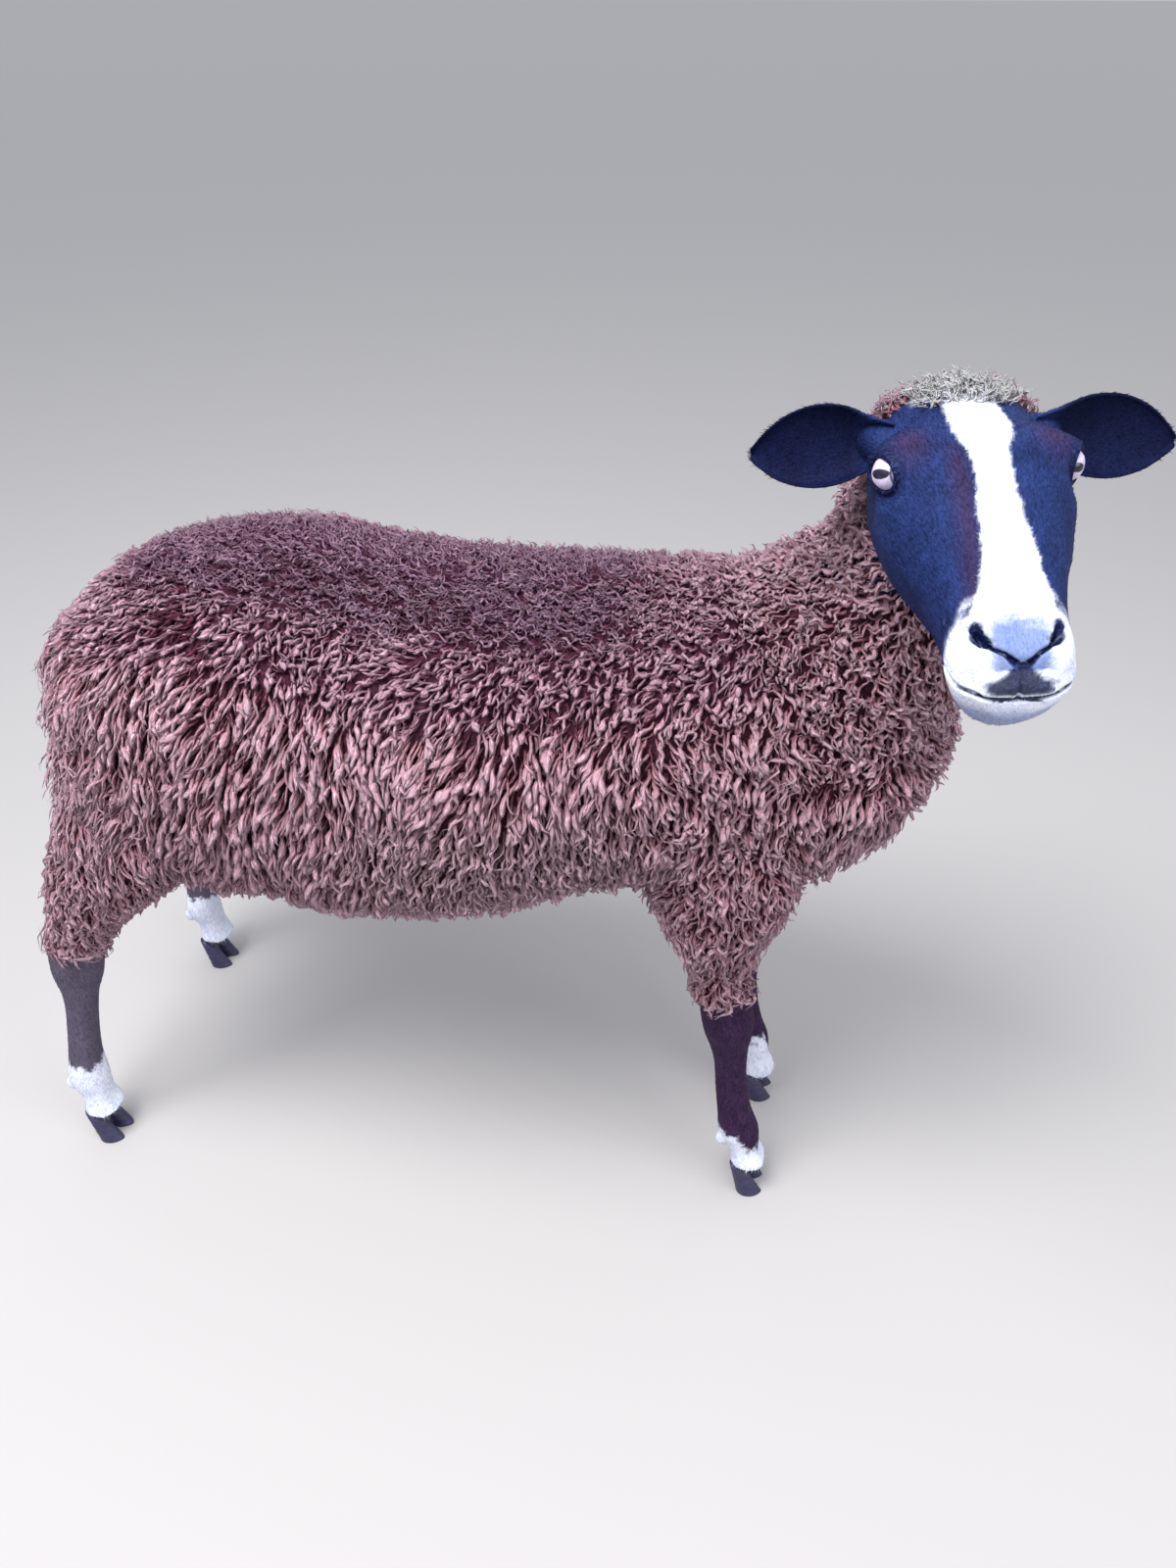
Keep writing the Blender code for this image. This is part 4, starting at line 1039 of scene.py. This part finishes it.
def bare_mark(points, ragged):
    """Dark bare skin: nostrils, philtrum, the middle of the upper lip, the lips' edges and the lids."""
    local = to_head(points)
    x, y, z = local.T
    heights = (-0.036, -0.030, -0.0215, -0.0165, -0.0125, -0.0090)
    half = np.interp(z, heights, (0.014, 0.022, 0.0227, 0.0120, 0.0077, 0.0050))
    lip = ease(0.0035, -0.0025, abs(y - 0.001) - half + 0.0028 * ragged)
    bare = 0.95 * (lip * (x > 0.137) * (z > -0.0365) * (z < -0.0080))
    for side in (-1, 1):
        apart, share = distance_along(local, mirrored(MOUTH, side))
        rim = bell(apart - 0.0040, 0.0011) * (share > 0.45) * (z > -0.034)
        bare = np.maximum(bare * (1 - 0.75 * rim), ease(0.0025, 0.0010, apart) * ease(0.0, 0.6, share))
        apart, share = distance_along(local, mirrored(NOSTRIL, side))
        wide = np.interp(share, (0, 0.25, 0.45, 0.75, 1), (0.0048, 0.0046, 0.0020, 0.0018, 0.0036))
        bare = np.maximum(bare, ease(1.25, 0.75, apart / wide))
        inner = mirrored(NOSTRIL[:3] - (0.006, 0.002, 0), side)
        bare = np.maximum(bare, ease(0.0068, 0.0052, distance_along(local, inner)[0]))
        reach, near = lids_at(local, side)
        bare = np.maximum(bare, ease(1.65, 1.35, reach) * near)
    return bare


def grey_mark(points, ragged):
    """Blue-grey pad between the nostrils, and the shaded chin."""
    x, y, z = to_head(points).T
    high = ease(0.116, 0.136, x + 0.004 * ragged) * ease(0.026, 0.014, abs(y)) * (z > -0.013)
    # Painted shade: the chin is darkened with the nose pad's grey
    chin = 0.75 * ease(-0.040, -0.050, z) * (x > 0.10)
    return np.where(in_head_region(points), np.maximum(high, chin), 0.0)


def give_marks(piece, points, each=1):
    """Markings of skin or hair: (white, bare, grey with painted shade on the chin) and (dark ear, brown,
    under the fleece).
    """
    draw = np.random.default_rng(MARK_SEED)
    ragged = 0.7 * wave(points, draw, 0.011) + 0.5 * wave(points, draw, 0.0045)
    white = white_mark(points, ragged)
    x, y, z = to_head(points).T
    head = in_head_region(points)
    ear = head * ease(0.060, 0.080, abs(y)) * (x < -0.01)
    off = ((x + 0.018) / 0.022) ** 2, ((abs(y) - 0.050) / 0.014) ** 2, ((z - 0.042) / 0.012) ** 2
    brow = np.exp(-off[0] - off[1] - off[2])
    edge = bell(y + 0.024, 0.007) * ease(-0.02, 0.02, x) * (z > 0)
    brown = np.where(head, 0.8 * brow + 0.7 * edge, 1.0)
    tuft = ease(0.040, 0.030, abs(y)) * (z > 0.0) * head
    white = np.maximum(white, tuft * ease(-0.070, -0.080, x))
    nape = ease(0.0, 0.008, wool_line(z) - x) * (1 - ear) * (1 - tuft)
    wool = np.where(head, nape, ease(WOOL_HEM - 0.006, WOOL_HEM + 0.002, (points - PLACE)[:, 2]))
    for name, values in (
        ("marks", (white, bare_mark(points, ragged), grey_mark(points, ragged))),
        ("marks_more", (ear, brown, wool)),
    ):
        give(piece, name, np.repeat(np.stack(values, axis=-1), each, axis=0))


def hair_share(middle):
    """How thick short hair grows: most on the face, less on the legs, none on lids or under the fleece."""
    own = middle - PLACE
    local = to_head(middle)
    x, y, _ = local.T
    face = ease(-0.090, -0.070, x)
    for side in (-1, 1):
        reach, near = lids_at(local, side)
        face = np.where((reach < 1.5) & near, 0.0, face)
    rim = np.where((abs(y) > 0.062) & (x < -0.02), 1.3, 1.0)
    leg = np.where(own[:, 2] < WOOL_HEM + 0.01, ease(0.034, 0.040, own[:, 2]) * 0.55, 0.0)
    return np.where(in_head_region(middle), np.maximum(face, abs(y) > 0.070) * rim, leg)


def fur_lie(place, normal):
    """Hair lies back from the nose, out along the ears and down the legs."""
    x, y, z = to_head(place).T
    aside = 1.2 * np.sign(y) * ease(0.004, 0.03, abs(y)) * 0.5
    back = np.stack([-1 + 0 * x, aside, -0.55 * ease(0.03, -0.03, z)], axis=1)
    out = np.where((y > 0)[:, None], ear_along(1), ear_along(-1))
    ear = (abs(y) > 0.066) & (x < -0.02)
    way = np.where(ear[:, None], out, back) @ HEAD_TURN.T
    way = np.where(in_head_region(place)[:, None], way, (0.05, 0.0, -1.0))
    return along_surface(way, normal)


def fur_length(place, ragged):
    """Length of the hair at each root."""
    x, y, z = to_head(place).T
    face = np.interp(x, (-0.09, -0.04, 0.05, 0.11, 0.16), (0.0075, 0.0055, 0.0048, 0.0038, 0.0028))
    face += 0.0030 * ease(-0.050, -0.090, z)
    face *= 1 - 0.30 * (abs(y) > 0.070)
    leg = 0.0048 + 0.0025 * ease(0.075, 0.045, place[:, 2])
    return np.where(in_head_region(place), face, leg) * (1 + 0.18 * ragged)


def make_fur(name, skin, count, stretch, draw):
    place, normal = scatter(skin, count, draw, hair_share)
    ragged = np.clip(draw.normal(size=count), -2, 2)
    lie = turned(fur_lie(place, normal), normal, 0.28 * draw.normal(size=count))
    length = fur_length(place, ragged) * stretch
    rise = draw.uniform(0.04, 0.20, count)
    way = lie * np.cos(rise)[:, None] + normal * np.sin(rise)[:, None]
    lines = np.stack([place - normal * HAIR_ROOT, place + way * length[:, None]], axis=1)
    girth = (draw.uniform(*HAIR_GIRTH, count) * np.sqrt(stretch))[:, None]
    piece, t, angle = strips(name, lines, girth, normal, 0.7, draw)
    give_marks(piece, place, len(t))
    give(piece, "hair", np.stack(np.broadcast_arrays(t, draw.random(count)[:, None], 0.0), axis=-1))
    _, tree, _, chart = form_chart()
    bake_map(piece, np.array([chart[tree.find_nearest(spot)[2]] for spot in place]), t, angle)
    return piece


class Graph:
    """Adds shader nodes to one material and links them."""

    def __init__(self, name):
        self.material = bpy.data.materials.new(name)
        self.material.use_nodes = True
        self.tree = self.material.node_tree

    def add(self, kind, settings=None, out=0, **links):
        """Makes a node, applies its settings and feeds its inputs, which are named, or numbered like _0."""
        node = self.tree.nodes.new("ShaderNode" + kind)
        for key, value in (settings or {}).items():
            setattr(node, key, value)
        self.feed(node, links)
        return Wire(self, node.outputs[out])

    def feed(self, node, links):
        for key, value in links.items():
            socket = node.inputs[int(key[1:]) if key[0] == "_" else key.replace("_", " ")]
            if isinstance(value, Wire):
                self.tree.links.new(value.socket, socket)
            else:
                socket.default_value = value

    def attribute(self, name):
        return self.add("Attribute", {"attribute_name": name}, 1)

    def place(self):
        return self.add("TexCoord", {}, 3)

    def noise(self, vector, scale, detail=2.0, rough=0.5):
        return self.add("TexNoise", Vector=vector, Scale=scale, Detail=detail, Roughness=rough)

    def bump(self, height, strength, distance):
        return self.add("Bump", Height=height, Strength=strength, Distance=distance)

    def shade(self, **links):
        self.feed(self.tree.nodes["Principled BSDF"], links)
        return self.material


class Wire:
    """One output socket, with arithmetic on it written as Python expressions."""

    def __init__(self, graph, socket):
        self.graph, self.socket = graph, socket

    def maths(self, operation, first, second, **settings):
        return self.graph.add("Math", {"operation": operation, **settings}, _0=first, _1=second)

    def __add__(self, other):
        return self.maths("ADD", self, other)

    def __mul__(self, other):
        return self.maths("MULTIPLY", self, other)

    def __sub__(self, other):
        return self.maths("SUBTRACT", self, other)

    def __rsub__(self, other):
        return self.maths("SUBTRACT", other, self)

    def __truediv__(self, other):
        return self.maths("DIVIDE", self, other)

    __radd__ = __add__
    __rmul__ = __mul__

    def clamp(self):
        return self.maths("ADD", self, 0.0, use_clamp=True)

    def map(self, low, high, start=0.0, end=1.0):
        settings = {"interpolation_type": "SMOOTHSTEP"}
        return self.graph.add("MapRange", settings, _0=self, _1=low, _2=high, _3=start, _4=end)

    def mix(self, first, second):
        """Goes from the first colour to the second as this value rises."""
        return self.graph.add("Mix", {"data_type": "RGBA"}, 2, _0=self, _6=first, _7=second)

    def over(self, first, second):
        """Mixes by this value kept within 0 to 1."""
        return self.clamp().mix(first, second)

    def vector(self, operation, other, out=0):
        return self.graph.add("VectorMath", {"operation": operation}, out, _0=self, _1=other)

    def parts(self):
        node = self.graph.add("SeparateXYZ", _0=self).socket.node
        return [Wire(self.graph, socket) for socket in node.outputs]


def wool_material(look):
    graph = Graph("wool")
    along, tone, random = graph.attribute("lock").parts()
    dark, grey, pale = graph.attribute("zone").parts()
    grain = graph.attribute("grain")
    fibre = graph.noise(grain.vector("MULTIPLY", (1.5, 1.5, 0.9)), 2.4, 4.0, 0.7)
    crimp = graph.noise(grain.vector("MULTIPLY", (0.7, 0.7, 6.0)), 1.7, 2.0)
    strand = fibre.map(0.36, 0.62)
    light = (tone + (strand - 0.5) * 0.65 + (crimp - 0.5) * 0.4 + (random - 0.5) * 0.4).clamp()
    body = light.map(0.05, 1.0).mix(look.wool_deep, look.wool)
    body = (grey * 0.7).over(body, light.map(0.0, 1.0).mix(look.wool_deep, look.wool_grey))
    body = dark.over(body, light.map(0.15, 1.0).mix(look.wool_deep, look.wool_back))
    tips = along.map(0.10, 0.85) * (light * 1.1 - 0.1) * (1.0 - dark * 0.35)
    body = tips.over(body, look.wool_tip)
    body = pale.over(body, (light + 0.5).over(look.poll_shade, look.poll))
    # Painted shade: towards its root each lock takes the colour of the shade between the locks, except on
    # the pale poll
    depth = along.map(0.0, 0.20) * (strand * 0.30 + 0.70) + pale
    relief = graph.bump(strand + crimp * 0.6, 1.0, 0.0018)
    return graph.shade(
        Base_Color=depth.over(look.wool_root, body), Roughness=0.9, Normal=relief, Specular_IOR_Level=0.15
    )


def coat_colour(graph, look, hair, mottle):
    """Colour of the short coat and bare skin from the markings they share."""
    white, bare, grey = graph.attribute("marks").parts()
    ear, brown, wool = graph.attribute("marks_more").parts()
    coat = hair.mix(look.face_dark, look.face_light)
    coat = (brown * 0.85).over(coat, hair.mix(look.brown_dark, look.brown_light))
    coat = ear.over(coat, (hair * 0.22).over(look.ear, look.face_light))
    snow = hair.map(0.0, 0.7).mix(look.white_shade, look.white)
    # Grey nose pad, and painted shade on the chin in the same colours
    snow = grey.over(snow, hair.mix(look.nose_pad_and_chin_shade_dark, look.nose_pad_and_chin_shade))
    coat = white.over(coat, snow)
    coat = bare.over(coat, mottle.map(0.45, 0.75).mix(look.nose, look.nose_light))
    return coat, bare, wool


def skin_material(look):
    graph = Graph("skin")
    hair = graph.noise(graph.attribute("lay"), 1.0, 3.0, 0.65)
    mottle = graph.noise(graph.place(), 420.0, 3.0, 0.6)
    broad = graph.noise(graph.place(), 40.0, 2.0)
    strands = (hair * 1.5 + broad * 0.7 - 0.65).clamp()
    coat, bare, wool = coat_colour(graph, look, strands, mottle)
    fluff = graph.noise(graph.place(), 260.0, 3.0, 0.6)
    # Painted shade: under the fleece the skin takes the colours of the shade between the locks
    coat = wool.over(coat, (fluff.map(0.40, 0.80) * 0.5).mix(look.wool_root, look.wool_deep))
    height = hair * (1.0 - bare) * (1.0 - wool) + mottle * bare * 0.7 + fluff * wool * 3.0
    relief, rough = graph.bump(height, 0.75, 0.0011), bare.map(0.3, 1.0, 0.66, 0.55)
    return graph.shade(Base_Color=coat, Roughness=rough, Normal=relief, Specular_IOR_Level=0.08)


def fur_material(look):
    graph = Graph("fur")
    along, random, _ = graph.attribute("hair").parts()
    tone = (random * 0.8 + along * 0.3).clamp()
    coat, _, _ = coat_colour(graph, look, tone, tone)
    return graph.shade(Base_Color=coat, Roughness=0.6, Specular_IOR_Level=0.08)


def eye_material(look):
    graph = Graph("eye")
    view = graph.attribute("look")
    off = view.vector("SUBTRACT", graph.attribute("gaze"))
    across, up = (off.vector("DOT_PRODUCT", way, 1) for way in ((-0.88, 0.47, 0.0), (0.45, 0.89, 0.0)))
    rays = graph.noise(view.vector("MULTIPLY", (6.0, 6.0, 6.0)), 2.5, 4.0, 0.7)
    pupil = (across * across / 0.25 + up * up / 0.058 + (rays - 0.5) * 0.5).map(1.12, 0.88)
    iris = (rays * 1.2 - 0.1).over(look.iris_shade, look.iris)
    line = across.map(0.44, 0.51) * across.map(0.60, 0.54)
    colour = across.map(0.52, 0.58).mix(iris, look.sclera)
    colour = pupil.mix((line * 0.9).over(colour, look.pupil), look.pupil)
    return graph.shade(Base_Color=colour, Roughness=0.3, Coat_Weight=0.35, Coat_Roughness=0.03)


def hoof_material(look):
    graph = Graph("horn")
    rings = graph.noise(graph.place().vector("MULTIPLY", (40.0, 40.0, 420.0)), 1.0, 3.0, 0.6)
    wear = graph.noise(graph.place(), 130.0, 3.0)
    horn = (rings * 0.9 + wear * 0.6 - 0.3).over(look.hoof_dark, look.hoof)
    return graph.shade(Base_Color=horn, Roughness=0.5, Normal=graph.bump(rings + wear * 0.5, 0.5, 0.0007))


def dress(piece, material):
    """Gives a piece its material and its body."""
    piece.data.materials.clear()
    piece.data.materials.append(material)
    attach(piece, "root")


def display(*shown):
    """Linear colour from display values of 0 to 255."""
    return (*(v / 255 / 12.92 if v < 11 else ((v / 255 + 0.055) / 1.055) ** 2.4 for v in shown), 1.0)


def colour(name, description, *shown):
    return FloatVectorProperty(
        name=name, description=description, default=display(*shown),
        subtype="COLOR", size=4, min=0.0, max=1.0,
    )


def share(name, description, default, low, high):
    return FloatProperty(
        name=name, description=description + ", as a share of the natural one", default=default,
        min=low, max=high, subtype="FACTOR",
    )


class SheepSizes(bpy.types.PropertyGroup):
    """Sizes of the coat."""

    lock_spacing: share("Lock spacing", "Distance between locks", 0.53, 0.4, 2.0)
    lock_length: share("Lock length", "Length of the locks", 1.0, 0.5, 1.5)
    lock_girth: share("Lock girth", "Thickness of the locks", 1.0, 0.4, 2.0)
    wisp_count: IntProperty(
        name="Wisps", description="Fine stray strands over the fleece", default=4600, min=0
    )
    wisp_girth: FloatProperty(
        name="Wisp girth", description="Half the thickness of a wisp", default=0.00055,
        min=0.0001, unit="LENGTH",
    )
    fur_count: IntProperty(
        name="Hairs", description="Short hairs on face, ears and legs", default=40000, min=0
    )
    fur_length: share("Hair length", "Length of the short hair", 1.0, 0.3, 2.0)
    seed: IntProperty(name="Seed", description="Choice of the random lie of the coat", default=11, min=0)


class SheepColours(bpy.types.PropertyGroup):
    """Colours of the sheep."""

    wool_root: colour("Wool roots", "Shade between the locks", 42, 18, 30)
    wool_deep: colour("Deep wool", "Shaded sides of the locks", 118, 54, 76)
    wool: colour("Wool", "Locks of flank, shoulder and neck", 242, 168, 184)
    wool_grey: colour("Grey wool", "Weathered wool of belly and low flank", 244, 206, 208)
    wool_back: colour("Back wool", "Dark curls along the back", 188, 138, 182)
    wool_tip: colour("Wool tips", "Bleached ends of the locks", 254, 212, 228)
    poll: colour("Poll", "Pale tuft between the ears", 255, 254, 255)
    poll_shade: colour("Poll shade", "Shaded hair of the tuft", 244, 238, 248)
    face_dark: colour("Face", "Short dark hair of the face", 4, 10, 38)
    face_light: colour("Face sheen", "Lighter hairs of the face", 42, 60, 116)
    brown_dark: colour("Leg", "Dark brown hair of legs and brow", 18, 5, 26)
    brown_light: colour("Leg sheen", "Lighter hairs of legs and brow", 72, 42, 70)
    ear: colour("Ear", "Black hair of the ears", 0, 1, 30)
    white: colour("White", "Blaze, muzzle and socks", 224, 227, 238)
    white_shade: colour("White shade", "Shaded white hair", 176, 184, 212)
    nose: colour("Nose", "Bare skin of nostrils and lips", 8, 12, 44)
    nose_light: colour("Nose spots", "Lighter spots on the bare skin", 44, 56, 104)
    # The nose pad's two colours also paint the shade on the chin
    nose_pad_and_chin_shade: colour("Nose pad", "Fine hair between the nostrils", 136, 148, 180)
    nose_pad_and_chin_shade_dark: colour("Nose pad shade", "Skin between its hairs", 88, 106, 156)
    iris: colour("Iris", "Pale iris", 222, 210, 230)
    iris_shade: colour("Iris shade", "Darker rays of the iris", 158, 146, 182)
    sclera: colour("Eye white", "Edge of the eyeball", 196, 178, 200)
    pupil: colour("Pupil", "Bar-shaped pupil", 10, 12, 34)
    hoof: colour("Hoof", "Horn of the hooves", 58, 56, 92)
    hoof_dark: colour("Hoof shade", "Darker rings of the horn", 20, 18, 42)
    floor: colour("Floor", "Studio floor", 176, 173, 172)


class SkinOperator(bpy.types.Operator):
    """Builds the one skin from nose to feet, with its face worked in"""

    bl_idname = "sheep.skin"
    bl_label = "Skin"

    def execute(self, context):
        skin = make_skin()
        points = points_of(skin)
        give_marks(skin, points)
        head = in_head_region(points)[:, None]
        lay = np.where(head, to_head(points) * (150, 620, 620), (points - PLACE) * (620, 620, 150))
        give(skin, "lay", lay)
        dress(skin, skin_material(context.scene.sheep_colours))
        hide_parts(*[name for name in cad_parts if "hoof" not in name and "eye" not in name])
        return {"FINISHED"}


class EyesOperator(bpy.types.Operator):
    """Builds both eyes"""

    bl_idname = "sheep.eyes"
    bl_label = "Eyes"

    def execute(self, context):
        eyes = join([eyeball(-1), eyeball(1)], "eyes")
        dress(eyes, eye_material(context.scene.sheep_colours))
        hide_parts("eye_left", "eye_right")
        return {"FINISHED"}


class HoovesOperator(bpy.types.Operator):
    """Builds the eight claws"""

    bl_idname = "sheep.hooves"
    bl_label = "Hooves"

    def execute(self, context):
        claws = []
        for _, side, _, lower, shift in LEGS:
            x, y = lower[-1][1:3]
            foot = np.array((x, -y * side, 0)) + shift * 0.92 + PLACE
            claws += [claw(foot + (0.004, part * CLAW_SPREAD, 0), part) for part in (-1, 1)]
        hooves = join(claws, "hooves")
        dress(hooves, hoof_material(context.scene.sheep_colours))
        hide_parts(*[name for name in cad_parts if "hoof" in name])
        return {"FINISHED"}


class FleeceOperator(bpy.types.Operator):
    """Covers neck, trunk, tail, thighs and poll with locks of wool and stray wisps"""

    bl_idname = "sheep.fleece"
    bl_label = "Fleece"

    def execute(self, context):
        sizes = context.scene.sheep_sizes
        draw = np.random.default_rng(sizes.seed)
        body, head = body_skin(), head_body()
        wool = plant_wool(body, head, sizes.lock_spacing, draw)
        for piece in (body, head):
            bpy.data.meshes.remove(piece.data)
        skin = bpy.data.objects["skin"]
        tree = surface_tree(points_of(skin), skin)
        lines = lock_lines(wool, tree, sizes.lock_length, draw)
        material = wool_material(context.scene.sheep_colours)
        order = np.argsort(wool.place[:, 0])
        for number, chosen in enumerate(np.array_split(order, FLEECE_PIECES), 1):
            piece = make_locks(f"fleece_{number}", wool, lines, chosen, sizes.lock_girth, draw)
            dress(piece, material)
        wanted = WISP_CHANCE + wool.wisps
        for number, part in enumerate(np.array_split(order, WISP_PIECES), 1):
            odds = wanted[part] / wanted[part].sum()
            chosen = draw.choice(part, sizes.wisp_count // WISP_PIECES, replace=False, p=odds)
            piece = make_wisps(f"wisps_{number}", wool, lines, chosen, sizes.wisp_girth, draw)
            dress(piece, material)
        return {"FINISHED"}


class FurOperator(bpy.types.Operator):
    """Covers face, ears and legs with short hair"""

    bl_idname = "sheep.fur"
    bl_label = "Short hair"

    def execute(self, context):
        sizes = context.scene.sheep_sizes
        draw = np.random.default_rng(sizes.seed + 1)
        piece = make_fur("fur", bpy.data.objects["skin"], sizes.fur_count, sizes.fur_length, draw)
        dress(piece, fur_material(context.scene.sheep_colours))
        return {"FINISHED"}


class StageOperator(bpy.types.Operator):
    """Sets the floor, the soft lights and the camera of the photograph"""

    bl_idname = "sheep.stage"
    bl_label = "Stage"

    def execute(self, context):
        scene = context.scene
        bpy.ops.mesh.primitive_plane_add(size=FLOOR_SIZE)
        floor = context.object
        floor.name = "floor"
        ground = Graph("floor")
        floor.data.materials.append(ground.shade(Base_Color=scene.sheep_colours.floor, Roughness=0.9))
        scene.world = bpy.data.worlds.new("sky")
        scene.world.use_nodes = True
        sky = scene.world.node_tree.nodes["Background"].inputs
        sky["Color"].default_value = SKY_COLOUR
        sky["Strength"].default_value = SKY_STRENGTH
        for name, place, size, power in SOFT_LIGHTS:
            aim = (LIGHT_TARGET - Vector(place)).to_track_quat("-Z", "Y").to_euler()
            bpy.ops.object.light_add(type="AREA", location=Vector(place) + Vector(PLACE), rotation=aim)
            context.object.name = name
            context.object.data.energy, context.object.data.size = power, size
        turn, level = CAMERA_TURN, math.cos(CAMERA_TILT)
        ahead = Vector((-math.sin(turn) * level, math.cos(turn) * level, -math.sin(CAMERA_TILT)))
        aim = ahead.to_track_quat("-Z", "Y").to_euler()
        bpy.ops.object.camera_add(location=Vector(CAMERA_PLACE) + Vector(PLACE), rotation=aim)
        scene.camera = context.object
        scene.camera.data.sensor_width = SENSOR_WIDTH
        scene.camera.data.lens = CAMERA_LENS
        scene.view_settings.view_transform = "Standard"
        return {"FINISHED"}


class SheepPanel(bpy.types.Panel):
    """Lists the pieces, sizes and colours"""

    bl_idname = "VIEW3D_PT_sheep"
    bl_label = "Zwartbles sheep"
    bl_space_type = "VIEW_3D"
    bl_region_type = "UI"
    bl_category = "Sheep"

    def draw(self, context):
        for operator in OPERATORS:
            self.layout.operator(operator.bl_idname)
        for group in (context.scene.sheep_sizes, context.scene.sheep_colours):
            for name in group.__annotations__:
                self.layout.prop(group, name)


OPERATORS = (SkinOperator, EyesOperator, HoovesOperator, FleeceOperator, FurOperator, StageOperator)
CLASSES = (SheepSizes, SheepColours, *OPERATORS, SheepPanel)


def register():
    for each in CLASSES:
        bpy.utils.register_class(each)
    bpy.types.Scene.sheep_sizes = PointerProperty(type=SheepSizes)
    bpy.types.Scene.sheep_colours = PointerProperty(type=SheepColours)


def unregister():
    del bpy.types.Scene.sheep_colours
    del bpy.types.Scene.sheep_sizes
    for each in reversed(CLASSES):
        bpy.utils.unregister_class(each)


def main():
    register()
    bpy.ops.sheep.skin()
    bpy.ops.sheep.eyes()
    bpy.ops.sheep.hooves()
    bpy.ops.sheep.fleece()
    bpy.ops.sheep.fur()
    bpy.ops.sheep.stage()


if __name__ == "__main__":
    main()
